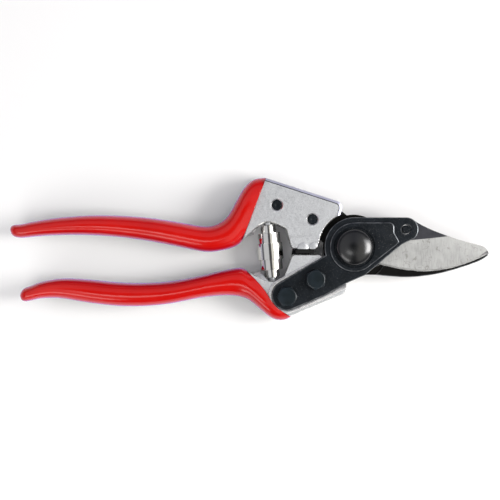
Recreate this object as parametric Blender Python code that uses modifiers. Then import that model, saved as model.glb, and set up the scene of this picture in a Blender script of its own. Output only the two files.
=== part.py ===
"""Pruning shears, closed and lying on their back.

The pivot runs along +Z through the origin, the blades point along +X, and the
resting plane is z = 0. All sizes below are in millimetres and degrees.
"""
import math

import bmesh
import bpy
from mathutils import Matrix, Vector

MM = 0.001

# Overall reach from the pivot axis
HANDLE_REACH = 151.2
BLADE_REACH = 59.8

# Clearance kept between neighbouring pieces
GAP = 0.3

# Handles: vinyl sleeves over an aluminium core, and the flat forged heads
GRIP_DEPTH = 16.6
GRIP_WALL = 1.2
CORE_DEPTH = 10.8
HEAD_THICKNESS = 11.4
HEAD_CHAMFER = 0.8
HEAD_ARC_R = 15.2

# Blades and their carrier plate, stacked along the pivot
COUNTER_BACK_DROP = 2.3
COUNTER_THICKNESS = 4.2
COUNTER_BOSS_R = 14.4
COUNTER_NOTCH_R = 13.5
SEAT_R = 15.4
SEAT_DEPTH = 0.8
WASHER_R = 12.8
BLADE_THICKNESS = 2.5
BLADE_BOSS_R = 12.4
PLATE_THICKNESS = 2.4
PLATE_BOSS_R = 13.1
PANEL_RISE = 0.6
PANEL_R = 10.8

# Pivot set
DOME_R = 8.0
DOME_HEIGHT = 3.8
PIVOT_SHANK_R = 4.6
PIVOT_THREAD_R = 4.0
BUSH_WALL = 1.3
NUT_FLOOR = 1.0
NUT_HEX_R = 7.4
NUT_TOOTH_TIP_R = 8.3
NUT_TOOTH_DEPTH = 0.7
NUT_TEETH = 24
NUT_FLANGE = 1.6
LOCK_SCREW_R = 1.9
LOCK_SCREW_HEAD_R = 3.0
LOCK_SCREW_HEAD_HEIGHT = 1.4
LOCK_SCREW_DEPTH = 1.6

# Plate fasteners
BOLT_R = 2.5
BOLT_HEAD_ACROSS_FLATS = 8.0
BOLT_HEAD_HEIGHT = 2.6
PLATE_NUT_HEIGHT = 3.2
BLADE_PIN_R = 1.85
RIVET_R = 2.2
RIVET_SINK = 0.35

# Volute spring between the handles
SPRING_STRIP = 0.5
SPRING_TURNS_EACH_WAY = 2.25
# How the strip runs from the spring's middle towards either end: (turns, size)
STRIP_RADIUS = ((0, 5.4), (0.38, 5.4), (0.62, 4.7), (1.3, 4.7), (1.6, 3.15), (SPRING_TURNS_EACH_WAY, 3.05))
STRIP_FAR_EDGE = (
    (0, 3.6), (0.3, 3.75), (0.75, 8.0), (1.3, 8.3), (1.5, 8.8), (1.85, 10.9), (SPRING_TURNS_EACH_WAY, 11.2),
)
STRIP_NEAR_EDGE = (
    (0, -3.6), (0.2, -3.65), (0.38, -1.6), (0.62, 1.9), (0.8, 3.2), (1.3, 3.6), (1.75, 7.4),
    (SPRING_TURNS_EACH_WAY, 8.0),
)
SPRING_SEAT_R = 2.0
SPRING_SEAT_HEIGHT = 3.0

# Safety catch on the back
LEVER_THICKNESS = 1.4
LEVER_EYE_R = 4.6
LEVER_HOOK_WALL = 2.0
LEVER_TAB = 12.5
CATCH_THROW = 24.0
CATCH_SCREW_R = 1.9
LEVER_TAB_HALF = 3.2
HOOK_OPEN_SIDE = 19
HOOK_FAR_SIDE = 10
HOOK_LIP = 14
CATCH_HEAD_R = 3.6
CATCH_HEAD_HEIGHT = 0.6
CATCH_WASHER_R = 3.9
CATCH_WASHER_THICKNESS = 0.5
STUD_R = 1.8
STUD_HEAD_R = 2.6
STUD_HEAD_HEIGHT = 0.4

# Rubber buffer between the handles
BUFFER_WIDTH = 8.3
BUFFER_DEPTH = 8.0
BUFFER_STEM_R = 1.2
BUFFER_STEM = 3.0
FOOT_Y = -0.8
LEDGE_Y = -3.1

# Places in plan, measured from the pivot axis
RIVET_REAR = (-34.0, 18.6)
RIVET_FRONT = (-18.3, 12.3)
BOLT_TAIL = (-29.6, -21.7)
BOLT_MIDDLE = (-17.0, -14.2)
BOLT_TURNS = (("tail", BOLT_TAIL, 30), ("middle", BOLT_MIDDLE, 0))
LOBE = (22.8, 7.8)
LOBE_R = 5.3
SPRING_TOP = (-37.9, 10.2)
SPRING_BOTTOM = (-35.9, -13.9)
CATCH_PIVOT = (-21.2, 5.6)
CATCH_STUD = (-17.4, -6.7)
LOCK_SCREW = (-2.6, 11.4)
BUFFER_X = -21.6

# The stack along the pivot, worked out from the sizes above
MID_Z = GRIP_DEPTH / 2
HEAD_BACK = MID_Z - HEAD_THICKNESS / 2
HEAD_FRONT = MID_Z + HEAD_THICKNESS / 2
COUNTER_BACK = MID_Z - COUNTER_BACK_DROP
COUNTER_FRONT = COUNTER_BACK + COUNTER_THICKNESS
SEAT_Z = COUNTER_FRONT - SEAT_DEPTH
BLADE_BACK = COUNTER_FRONT + GAP
BLADE_FRONT = BLADE_BACK + BLADE_THICKNESS
PLATE_BACK = BLADE_FRONT + GAP
PLATE_FRONT = PLATE_BACK + PLATE_THICKNESS
PANEL_FRONT = PLATE_FRONT + PANEL_RISE
DOME_BACK = PANEL_FRONT + GAP
BUSH_BORE_R = PIVOT_SHANK_R + GAP
BUSH_R = BUSH_BORE_R + BUSH_WALL
NUT_FRONT = COUNTER_BACK - GAP
LEVER_FRONT = HEAD_BACK - GAP
LEVER_BACK = LEVER_FRONT - LEVER_THICKNESS

# Shapes keep these proportions when the overall reach changes
DRAWN_HANDLE_REACH = 151.2
HANDLE_BEND_X = -66.0
DRAWN_BLADE_REACH = 59.8
BLADE_ROOT_X = 26.0

ARC_STEP = 12.0
RING_POINTS = 16
CUT_PAST = 2.0


# ---------------------------------------------------------------- outlines

def arc(cx, cy, radius, start, end, step=ARC_STEP):
    """Points on a circle from start to end degrees, either way round."""
    count = max(2, round(abs(end - start) / step) + 1)
    angles = [math.radians(start + (end - start) * i / (count - 1)) for i in range(count)]
    return [(cx + radius * math.cos(a), cy + radius * math.sin(a)) for a in angles]


def rounded(points):
    """A polygon with filleted corners: a point is (x, y) or (x, y, radius)."""
    out = []
    for i, point in enumerate(points):
        corner = Vector(point[:2])
        if len(point) < 3:
            out.append(corner.to_tuple())
            continue
        before = Vector(points[i - 1][:2]) - corner
        after = Vector(points[(i + 1) % len(points)][:2]) - corner
        half = before.angle(after) / 2
        reach = min(point[2] / math.tan(half), before.length * 0.49, after.length * 0.49)
        radius = reach * math.tan(half)
        centre = corner + (before.normalized() + after.normalized()).normalized() * radius / math.sin(half)
        first = corner + before.normalized() * reach - centre
        turn = first.angle_signed(corner + after.normalized() * reach - centre)
        count = max(2, round(abs(math.degrees(turn)) / ARC_STEP) + 1)
        for k in range(count):
            spoke = first.copy()
            spoke.rotate(Matrix.Rotation(-turn * k / (count - 1), 2))
            out.append((centre + spoke).to_tuple())
    return out


def grown(outline, distance):
    """The outline moved outwards by a distance (inwards when negative)."""
    points = [Vector(p) for p in outline]
    area = sum(a.cross(b) for a, b in zip(points, points[1:] + points[:1], strict=True))
    side = 1.0 if area > 0 else -1.0
    out = []
    for i, here in enumerate(points):
        into = (here - points[i - 1]).normalized()
        away = (points[(i + 1) % len(points)] - here).normalized()
        normals = [Vector((d.y, -d.x)) * side for d in (into, away)]
        mitre = (normals[0] + normals[1]).normalized()
        out.append((here + mitre * distance / max(0.5, mitre.dot(normals[0]))).to_tuple())
    return out


def handle_x(x):
    """Stretches what lies behind the bend to the handle's reach."""
    if x > HANDLE_BEND_X:
        return x
    share = (x - HANDLE_BEND_X) / (-DRAWN_HANDLE_REACH - HANDLE_BEND_X)
    return HANDLE_BEND_X + share * (-HANDLE_REACH - HANDLE_BEND_X)


def blade_x(x):
    """Stretches what lies past the blade's root to the blade's reach."""
    if x < BLADE_ROOT_X:
        return x
    share = (x - BLADE_ROOT_X) / (DRAWN_BLADE_REACH - BLADE_ROOT_X)
    return BLADE_ROOT_X + share * (BLADE_REACH - BLADE_ROOT_X)


def on_arc(y, radius=HEAD_ARC_R):
    """The x on the left half of a circle about the pivot, at height y."""
    return -math.sqrt(radius ** 2 - y ** 2)


def angle_of(x, y):
    return math.degrees(math.atan2(y, x)) % 360


def upper_head_outline():
    corner = angle_of(on_arc(14.0), 14.0)
    foot = angle_of(on_arc(2.4), 2.4)
    return rounded([
        (-48.6, 3.3), (-44.5, 7.4, 4.0), (-38.6, 12.3, 3.2), (-30.2, 7.8, 1.0),
        (-27.7, FOOT_Y, 1.6), (-17.1, FOOT_Y, 1.2),
        *arc(0, 0, HEAD_ARC_R, foot, corner),
        (-4.4, 19.6, 3.4), (-38.0, 30.6),
    ])


def lower_head_outline():
    tip = angle_of(on_arc(-4.8), -4.8)
    end = angle_of(-3.5, -math.sqrt(HEAD_ARC_R ** 2 - 3.5 ** 2))
    return rounded([
        (-47.0, -10.3), (-36.2, -16.1, 3.6), (-31.0, -12.6, 1.2), (-27.3, LEDGE_Y, 1.2),
        (-14.5, LEDGE_Y, 1.2),
        *arc(0, 0, HEAD_ARC_R, tip, end),
        (-3.5, -20.3, 2.6), (-26.9, -30.1),
    ])


def counter_blade_outline():
    boss_start, boss_end = angle_of(13.9, 3.6), 102.0
    neck, below = angle_of(on_arc(4.6, COUNTER_BOSS_R), 4.6), angle_of(-7.6, -12.2)
    notch_top, notch_low = 170.0, 201.0
    jaw_top = [(16.8, -1.2), (22.0, -5.4), (30.0, -7.6), (40.0, -7.0), (48.0, -5.6), (55.0, -3.8)]
    jaw_tip = [(59.8, -2.6), (59.3, -3.7)]
    jaw_low = [(55.4, -6.1), (46.6, -9.2), (37.8, -11.6), (29.0, -12.9), (21.0, -13.2), (9.2, -12.2)]
    low = [(blade_x(x), y) for x, y in reversed(jaw_top + jaw_tip)]
    return [
        *low,
        *arc(0, 0, COUNTER_BOSS_R, boss_start, boss_end),
        *rounded([
            (-5.1, 15.9), (-12.0, 18.6, 6.0), (-32.6, 23.4, 4.0), (-38.4, 19.6, 3.6),
            (-36.2, 14.6, 3.0), (-20.5, 8.2, 6.0), (-15.6, 4.7),
        ]),
        *arc(0, 0, COUNTER_BOSS_R, neck, notch_top),
        *arc(0, 0, COUNTER_NOTCH_R, notch_top + 1, notch_low - 1),
        *arc(0, 0, COUNTER_BOSS_R, notch_low, below),
        *[(blade_x(x), y) for x, y in reversed(jaw_low)],
    ]


def cutting_blade_outline():
    heel = (11.8, -7.7)
    edge = [(20.2, -9.6), (29.0, -10.7), (37.8, -10.2), (46.6, -8.3), (55.4, -4.9)]
    spine = [(59.4, -2.6), (58.4, -1.0), (55.4, 1.0), (46.6, 3.2), (37.8, 6.2), (30.5, 9.5), (25.4, 12.4)]
    return [
        heel,
        *[(blade_x(x), y) for x, y in edge + spine],
        *arc(0, 0, BLADE_BOSS_R, 90, 312),
    ]


def plate_outline():
    tail = 6.4
    cx, cy = BOLT_TAIL[0] - 0.2, BOLT_TAIL[1] + 0.4
    return [
        *arc(0, 0, PLATE_BOSS_R, 90, 196),
        *arc(cx, cy, tail, 119, 294),
        (-12.8, -21.0), (-4.0, -16.1), (4.8, -12.2), (21.0, 1.4),
        *arc(*LOBE, LOBE_R, -48, 90),
    ]


def panel_outline():
    return rounded([
        *arc(0, 0, PANEL_R, 90, 300),
        (18.4, 0.9, 1.2), (19.8, 2.4, 0.8), (17.5, 6.3, 1.2), (17.5, 10.9, 2.2), (1.5, 10.9),
    ])


# ------------------------------------------------------------ object makers

def start_scene():
    for old in list(bpy.data.objects):
        bpy.data.objects.remove(old, do_unlink=True)
    made = {}
    for name in ("pruning_shears", "cutters"):
        made[name] = bpy.data.collections.new(name)
        bpy.context.scene.collection.children.link(made[name])
    return made["pruning_shears"], made["cutters"]


PARTS, CUTTERS = start_scene()


def material(name, colour, roughness, metallic):
    made = bpy.data.materials.new(name)
    made.use_nodes = True
    shader = made.node_tree.nodes["Principled BSDF"]
    shader.inputs["Base Color"].default_value = (*colour, 1.0)
    shader.inputs["Roughness"].default_value = roughness
    shader.inputs["Metallic"].default_value = metallic
    return made


FINISHES = {
    "red_vinyl": ((0.60, 0.02, 0.01), 0.25, 0.0),
    "forged_aluminium": ((0.58, 0.59, 0.60), 0.45, 0.9),
    "blackened_steel": ((0.03, 0.035, 0.04), 0.38, 0.7),
    "ground_steel": ((0.55, 0.55, 0.54), 0.35, 0.95),
    "chrome": ((0.75, 0.75, 0.75), 0.1, 1.0),
    "bronze": ((0.45, 0.30, 0.12), 0.35, 0.9),
    "bright_steel": ((0.50, 0.50, 0.50), 0.35, 0.9),
    "black_rubber": ((0.02, 0.02, 0.02), 0.7, 0.0),
}


def place(name, mesh, finish=None):
    """Puts a mesh in the model, or among the cutters when it has no finish."""
    item = bpy.data.objects.new(name, mesh)
    if finish:
        mesh.materials.clear()
        mesh.materials.append(material(name, *FINISHES[finish]))
        PARTS.objects.link(item)
    else:
        item.hide_render = True
        item.display_type = "WIRE"
        CUTTERS.objects.link(item)
    return item


def flat(name, outline, low, high, finish=None, chamfer=0.0):
    """A flat outline with thickness, as a filled and extruded curve made a mesh."""
    curve = bpy.data.curves.new(name + "_outline", "CURVE")
    curve.dimensions = "2D"
    curve.fill_mode = "BOTH"
    curve.extrude = (high - low) / 2 * MM
    spline = curve.splines.new("POLY")
    spline.points.add(len(outline) - 1)
    for point, (x, y) in zip(spline.points, outline, strict=True):
        point.co = (x * MM, y * MM, 0, 1)
    spline.use_cyclic_u = True
    guide = bpy.data.objects.new(name + "_outline", curve)
    guide.location.z = (high + low) / 2 * MM
    PARTS.objects.link(guide)
    graph = bpy.context.evaluated_depsgraph_get()
    mesh = bpy.data.meshes.new_from_object(guide.evaluated_get(graph))
    shape = bmesh.new()
    shape.from_mesh(mesh)
    bmesh.ops.remove_doubles(shape, verts=shape.verts, dist=0.00001)
    bmesh.ops.dissolve_limit(shape, angle_limit=0.01, verts=shape.verts, edges=shape.edges)
    bmesh.ops.recalc_face_normals(shape, faces=shape.faces)
    shape.to_mesh(mesh)
    shape.free()
    item = place(name, mesh, finish)
    item.matrix_world = guide.matrix_world.copy()
    item.location.z = guide.location.z
    bpy.data.objects.remove(guide, do_unlink=True)
    if chamfer:
        edge = item.modifiers.new("chamfer", "BEVEL")
        edge.width = chamfer * MM
        edge.segments = 1
        edge.limit_method = "ANGLE"
        edge.angle_limit = math.radians(50)
    return item


def disc(name, x, y, radius, low, high, finish=None, sides=24, turned=0.0):
    """A round or many-sided rod along Z."""
    shape = bmesh.new()
    bmesh.ops.create_cone(
        shape, cap_ends=True, segments=sides, radius1=radius * MM, radius2=radius * MM,
        depth=(high - low) * MM,
    )
    mesh = bpy.data.meshes.new(name)
    shape.to_mesh(mesh)
    shape.free()
    item = place(name, mesh, finish)
    item.location = (x * MM, y * MM, (low + high) / 2 * MM)
    item.rotation_euler.z = math.radians(turned)
    return item


def turned(name, x, y, profile, finish, sides=32):
    """A turned piece: the profile is (radius, z) from the top down the outside."""
    mesh = bpy.data.meshes.new(name)
    shape = bmesh.new()
    verts = [shape.verts.new((radius * MM, 0, z * MM)) for radius, z in profile]
    for first, second in zip(verts, verts[1:], strict=False):
        shape.edges.new((first, second))
    shape.to_mesh(mesh)
    shape.free()
    item = place(name, mesh, finish)
    item.location = (x * MM, y * MM, 0)
    lathe = item.modifiers.new("lathe", "SCREW")
    lathe.steps = sides
    lathe.render_steps = sides
    lathe.use_merge_vertices = True
    lathe.merge_threshold = 0.00001
    return item


def tube_profile(inner, outer, low, high):
    return [(inner, high), (outer, high), (outer, low), (inner, low), (inner, high)]


def cut(item, *cutters):
    for cutter in cutters:
        step = item.modifiers.new("cut_" + cutter.name, "BOOLEAN")
        step.operation = "DIFFERENCE"
        step.solver = "EXACT"
        step.object = cutter
    return item


def joined(item, *others):
    for other in others:
        step = item.modifiers.new("join_" + other.name, "BOOLEAN")
        step.operation = "UNION"
        step.solver = "EXACT"
        step.object = other
    return item


def loft(name, rows, finish=None, inner=None):
    """Skin over rings of points; with inner rings, an open-ended sleeve."""
    shape = bmesh.new()

    def skin(rings):
        made = [[shape.verts.new(Vector(p) * MM) for p in ring] for ring in rings]
        for near, far in zip(made, made[1:], strict=False):
            for i in range(len(near)):
                j = (i + 1) % len(near)
                shape.faces.new((near[i], near[j], far[j], far[i]))
        return made

    outside = skin(rows)
    shape.faces.new(outside[0])
    if inner:
        inside = skin(inner)
        shape.faces.new(inside[0])
        mouth, lip = outside[-1], inside[-1]
        for i in range(len(mouth)):
            j = (i + 1) % len(mouth)
            shape.faces.new((mouth[i], mouth[j], lip[j], lip[i]))
    else:
        shape.faces.new(outside[-1])
    bmesh.ops.recalc_face_normals(shape, faces=shape.faces)
    mesh = bpy.data.meshes.new(name)
    shape.to_mesh(mesh)
    shape.free()
    return place(name, mesh, finish)


# ------------------------------------------------------------------ handles

# Each station is the handle's upper and lower edge, and the share of full depth
UPPER_STATIONS = [
    ((-150.9, 8.2), (-150.7, 6.6), 0.30),
    ((-150.0, 9.4), (-149.6, 5.2), 0.58),
    ((-147.6, 10.0), (-147.2, 4.2), 0.76),
    ((-142.0, 11.3), (-141.8, 4.6), 0.88),
    ((-132.0, 12.9), (-132.0, 5.3), 0.96),
    ((-118.0, 14.1), (-118.0, 5.4), 1.0),
    ((-104.0, 14.0), (-104.0, 4.5), 1.0),
    ((-90.0, 13.0), (-90.0, 2.6), 1.0),
    ((-77.0, 11.0), (-77.5, 0.2), 1.0),
    ((-66.4, 9.2), (-66.0, -2.1), 1.0),
    ((-60.4, 10.2), (-58.4, -1.5), 1.0),
    ((-55.8, 13.6), (-53.6, -0.2), 1.0),
    ((-52.2, 19.8), (-51.2, 1.0), 1.0),
    ((-48.4, 26.4), (-50.2, 1.8), 1.0),
    ((-44.0, 30.2), (-49.7, 2.4), 0.98),
    ((-38.6, 30.9), (-49.3, 2.9), 0.94),
]
LOWER_STATIONS = [
    ((-146.7, -21.2), (-146.4, -22.7), 0.30),
    ((-145.9, -19.0), (-145.0, -23.9), 0.58),
    ((-143.4, -17.3), (-142.4, -23.5), 0.76),
    ((-138.2, -15.3), (-137.6, -22.6), 0.88),
    ((-129.4, -13.8), (-129.4, -22.6), 0.96),
    ((-118.0, -14.2), (-118.0, -24.5), 1.0),
    ((-105.0, -15.5), (-105.0, -26.0), 1.0),
    ((-92.0, -15.8), (-92.0, -26.1), 1.0),
    ((-79.5, -14.9), (-80.5, -24.9), 1.0),
    ((-68.0, -12.7), (-69.5, -22.7), 1.0),
    ((-58.0, -10.3), (-60.0, -21.5), 1.0),
    ((-52.0, -9.2), (-52.4, -21.5), 1.0),
    ((-49.6, -9.2), (-46.6, -23.1), 1.0),
    ((-48.6, -9.5), (-41.4, -27.4), 1.0),
    ((-48.1, -9.7), (-36.0, -31.6), 1.0),
    ((-47.8, -9.9), (-31.0, -32.3), 0.98),
    ((-47.5, -10.1), (-27.4, -30.7), 0.94),
]
FIRST_HOLLOW_STATION = 3
ROUNDNESS = 2.7


def ring(station, half_depth, inset, squeeze=1.0):
    """One rounded cross-section between a station's upper and lower edge."""
    top, bottom, share = station
    ends = [Vector((handle_x(x), y, 0)) for x, y in (top, bottom)]
    middle = (ends[0] + ends[1]) / 2 + Vector((0, 0, MID_Z))
    across = (ends[0] - ends[1]) / 2
    across = across.normalized() * (across.length - inset) * squeeze
    deep = Vector((0, 0, half_depth * share))
    points = []
    for i in range(RING_POINTS):
        a = 2 * math.pi * (i + 0.5) / RING_POINTS
        c, s = math.cos(a), math.sin(a)
        u = math.copysign(abs(c) ** (2 / ROUNDNESS), c)
        v = math.copysign(abs(s) ** (2 / ROUNDNESS), s)
        points.append(middle + across * u + deep * v)
    return points


def between(first, second, share):
    """The station part of the way from one station to the next."""
    ends = []
    for a, b in zip(first[:2], second[:2], strict=True):
        ends.append(tuple(Vector(a).lerp(Vector(b), share)))
    return (*ends, first[2] + (second[2] - first[2]) * share)


def moved(station, dx, dy):
    (tx, ty), (bx, by), share = station
    return ((tx + dx, ty + dy), (bx + dx, by + dy), share)


def sleeve(name, stations):
    outside = [ring(s, GRIP_DEPTH / 2, 0) for s in stations]
    hollow_depth = CORE_DEPTH / 2 + GAP
    inside = [ring(s, hollow_depth, GRIP_WALL) for s in stations[FIRST_HOLLOW_STATION:]]
    return loft(name, outside, "red_vinyl", inside)


def core(name, stations, into_head):
    """The aluminium core inside a sleeve, run on into the handle's head."""
    body = stations[FIRST_HOLLOW_STATION:]
    body[0] = between(body[0], body[1], 0.15)
    rows = [ring(s, CORE_DEPTH / 2, GRIP_WALL + GAP) for s in body]
    rows.append(ring(moved(body[-1], *into_head), CORE_DEPTH / 2, GRIP_WALL + GAP, 0.8))
    return loft(name, rows)


def spring_frame():
    """Centre, length and direction of the spring, and its turn about Z."""
    top, bottom = Vector(SPRING_TOP), Vector(SPRING_BOTTOM)
    along = top - bottom
    return (top + bottom) / 2, along.length, along.normalized(), math.atan2(along.y, along.x)


def spring_seat(name, end):
    """A round peg in the cavity wall, which the spring's end sits over."""
    middle, length, along, turn = spring_frame()
    root = SPRING_SEAT_HEIGHT
    centre = middle + along * end * (length / 2 - SPRING_SEAT_HEIGHT / 2 + root / 2)
    peg = disc(name, centre.x, centre.y, SPRING_SEAT_R, 0, SPRING_SEAT_HEIGHT + root, sides=16)
    peg.rotation_euler = (0, math.radians(90), turn)
    peg.location.z = MID_Z * MM
    return peg


def upper_handle():
    head = flat("upper_handle", upper_head_outline(), HEAD_BACK, HEAD_FRONT, "forged_aluminium", HEAD_CHAMFER)
    inner = core("upper_core", UPPER_STATIONS, (3.6, -1.4))
    joined(head, inner, spring_seat("upper_spring_seat", 1))
    slot = flat("tang_slot", grown(counter_blade_outline(), GAP), COUNTER_BACK - GAP, COUNTER_FRONT + GAP)
    holes = [
        disc("rivet_hole_" + label, *at, RIVET_R + GAP, HEAD_BACK - CUT_PAST, HEAD_FRONT + CUT_PAST)
        for label, at in (("rear", RIVET_REAR), ("front", RIVET_FRONT))
    ]
    screw = disc("catch_screw_hole", *CATCH_PIVOT, CATCH_SCREW_R + GAP, HEAD_BACK - CUT_PAST,
                 catch_screw_end() + GAP)
    washer_seat = disc("catch_washer_seat", *CATCH_PIVOT, CATCH_WASHER_R + GAP, HEAD_BACK - CUT_PAST,
                       HEAD_BACK + CATCH_WASHER_THICKNESS + GAP)
    stem = buffer_stem("buffer_stem_hole", BUFFER_STEM_R + GAP, BUFFER_STEM + GAP)
    cut(head, slot, *holes, screw, washer_seat, stem)
    return holes


def lower_handle():
    head = flat("lower_handle", lower_head_outline(), HEAD_BACK, HEAD_FRONT, "forged_aluminium", HEAD_CHAMFER)
    inner = core("lower_core", LOWER_STATIONS, (2.6, 2.6))
    joined(head, inner, spring_seat("lower_spring_seat", -1))
    pocket = flat("plate_pocket", grown(plate_outline(), GAP), PLATE_BACK - GAP, PLATE_FRONT + CUT_PAST)
    holes = []
    for label, at, turn in BOLT_TURNS:
        holes.append(disc("bolt_hole_" + label, *at, BOLT_R + GAP, HEAD_BACK - CUT_PAST,
                          PLATE_FRONT + CUT_PAST))
        across = hex_radius(BOLT_HEAD_ACROSS_FLATS) + GAP * 1.2
        cut(head, disc("nut_pocket_" + label, *at, across, HEAD_BACK - CUT_PAST,
                       HEAD_BACK + PLATE_NUT_HEIGHT + 2 * GAP, sides=6, turned=turn))
    stud = disc("stud_hole", *CATCH_STUD, STUD_R + GAP, HEAD_BACK - CUT_PAST, stud_end() + GAP)
    cut(head, pocket, *holes, stud)
    relief = flat("plate_relief", grown(plate_outline(), GAP), PLATE_BACK - GAP, GRIP_DEPTH + CUT_PAST)
    cut(sleeve("lower_grip", LOWER_STATIONS), relief)
    return holes


# ----------------------------------------------------------- blades and plate

def hex_radius(across_flats):
    return across_flats / 2 / math.cos(math.pi / 6)


def blades(bolt_holes, rivet_holes):
    bore = disc("pivot_bore", 0, 0, BUSH_R + GAP, COUNTER_BACK - CUT_PAST, PANEL_FRONT + CUT_PAST, sides=32)
    lock_hole = disc("lock_screw_hole", *LOCK_SCREW, LOCK_SCREW_R + GAP, COUNTER_BACK - CUT_PAST,
                     SEAT_Z - LOCK_SCREW_DEPTH + 2 * GAP)
    counter = flat("counter_blade", counter_blade_outline(), COUNTER_BACK, COUNTER_FRONT, "blackened_steel")
    seat = disc("washer_seat", 0, 0, SEAT_R, SEAT_Z, COUNTER_FRONT + CUT_PAST, sides=48)
    cut(counter, seat, bore, lock_hole, *rivet_holes)

    blade = flat("cutting_blade", cutting_blade_outline(), BLADE_BACK, BLADE_FRONT, "ground_steel", 0.4)
    pin_hole = disc("blade_pin_hole", *LOBE, BLADE_PIN_R + GAP, BLADE_BACK - CUT_PAST, PLATE_FRONT + CUT_PAST)
    cut(blade, bore, pin_hole)
    disc("blade_pin", *LOBE, BLADE_PIN_R, BLADE_BACK, PLATE_FRONT + 0.2, "blackened_steel")

    plate = flat("blade_plate", plate_outline(), PLATE_BACK, PLATE_FRONT, "blackened_steel", 0.3)
    panel = flat("plate_panel", panel_outline(), PLATE_FRONT - 1.0, PANEL_FRONT)
    joined(plate, panel)
    cut(plate, bore, pin_hole, *bolt_holes)


# ------------------------------------------------------------------ fasteners

def plate_bolts():
    for label, at, turn in BOLT_TURNS:
        seat = PLATE_FRONT + GAP
        head_r = hex_radius(BOLT_HEAD_ACROSS_FLATS)
        bolt = disc("plate_bolt_" + label, *at, head_r, seat, seat + BOLT_HEAD_HEIGHT,
                    "blackened_steel", sides=6, turned=turn)
        crown = bolt.modifiers.new("crown", "BEVEL")
        crown.width = 0.5 * MM
        crown.segments = 1
        shank = disc("bolt_shank_" + label, *at, BOLT_R, HEAD_BACK + GAP, seat + 1.0)
        joined(bolt, shank)
        nut = disc("plate_nut_" + label, *at, head_r, HEAD_BACK + GAP, HEAD_BACK + GAP + PLATE_NUT_HEIGHT,
                   "blackened_steel", sides=6, turned=turn)
        cut(nut, disc("plate_nut_bore_" + label, *at, BOLT_R + GAP, HEAD_BACK - CUT_PAST,
                      HEAD_BACK + PLATE_NUT_HEIGHT + CUT_PAST))


def rivets():
    for label, at in (("rear", RIVET_REAR), ("front", RIVET_FRONT)):
        disc("counter_blade_rivet_" + label, *at, RIVET_R, HEAD_BACK + RIVET_SINK,
             HEAD_FRONT - RIVET_SINK, "blackened_steel")


def nut_teeth_outline(grow):
    """Rounded saw teeth round the nut's flange."""
    points = []
    for i in range(NUT_TEETH * 2):
        radius = NUT_TOOTH_TIP_R + grow - (i % 2) * NUT_TOOTH_DEPTH
        points.append((radius, 360 * i / (NUT_TEETH * 2)))
    return [(r * math.cos(math.radians(a)), r * math.sin(math.radians(a))) for r, a in points]


def pivot_set():
    rise = [
        (DOME_R * math.sin(math.radians(a)), DOME_BACK + 0.8 + (DOME_HEIGHT - 0.8) * math.cos(math.radians(a)))
        for a in range(0, 91, 15)
    ]
    turned("pivot_bolt", 0, 0, [
        *rise, (DOME_R, DOME_BACK), (PIVOT_SHANK_R, DOME_BACK), (PIVOT_SHANK_R, NUT_FRONT + GAP),
        (PIVOT_THREAD_R, NUT_FRONT), (PIVOT_THREAD_R, NUT_FLOOR + GAP), (0, NUT_FLOOR + GAP),
    ], "blackened_steel")
    turned("pivot_bush", 0, 0, tube_profile(BUSH_BORE_R, BUSH_R, COUNTER_BACK + GAP, PANEL_FRONT - GAP), "bronze")
    turned("blade_washer", 0, 0, tube_profile(BUSH_R + GAP, WASHER_R, SEAT_Z + GAP, COUNTER_FRONT), "bronze", 40)

    nut = flat("pivot_nut", nut_teeth_outline(0), NUT_FRONT - NUT_FLANGE, NUT_FRONT, "bright_steel")
    joined(nut, disc("nut_hex", 0, 0, NUT_HEX_R, 0, NUT_FRONT - NUT_FLANGE / 2, sides=6))
    cut(nut, disc("nut_thread", 0, 0, PIVOT_THREAD_R + GAP, NUT_FLOOR, NUT_FRONT + CUT_PAST, sides=32))

    away = angle_of(*LOCK_SCREW)
    reach = math.hypot(*LOCK_SCREW)
    segment = flat("nut_lock_segment", [
        *arc(0, 0, NUT_TOOTH_TIP_R - NUT_TOOTH_DEPTH, away + 26, away - 26),
        *arc(*LOCK_SCREW, PLATE_BOSS_R - reach + 1.2, away - 80, away + 80, 20),
    ], NUT_FRONT - NUT_FLANGE, NUT_FRONT, "bright_steel")
    cut(segment, flat("segment_teeth", nut_teeth_outline(GAP), NUT_FRONT - 2 * NUT_FLANGE, NUT_FRONT + CUT_PAST),
        disc("segment_hole", *LOCK_SCREW, LOCK_SCREW_R + GAP, 0, NUT_FRONT + CUT_PAST))
    under = NUT_FRONT - NUT_FLANGE - GAP
    turned("lock_segment_screw", *LOCK_SCREW, [
        (0, SEAT_Z - LOCK_SCREW_DEPTH), (LOCK_SCREW_R, SEAT_Z - LOCK_SCREW_DEPTH), (LOCK_SCREW_R, under),
        (LOCK_SCREW_HEAD_R, under), (LOCK_SCREW_HEAD_R, under - LOCK_SCREW_HEAD_HEIGHT),
        (0, under - LOCK_SCREW_HEAD_HEIGHT),
    ], "bright_steel", 20)


# --------------------------------------------------------- spring and buffer

def along_track(track, turns):
    """Where a track of (turns, size) stands after some turns."""
    for (before, low), (after, high) in zip(track, track[1:], strict=False):
        if turns <= after:
            return low + (high - low) * (turns - before) / (after - before)
    return track[-1][1]


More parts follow.
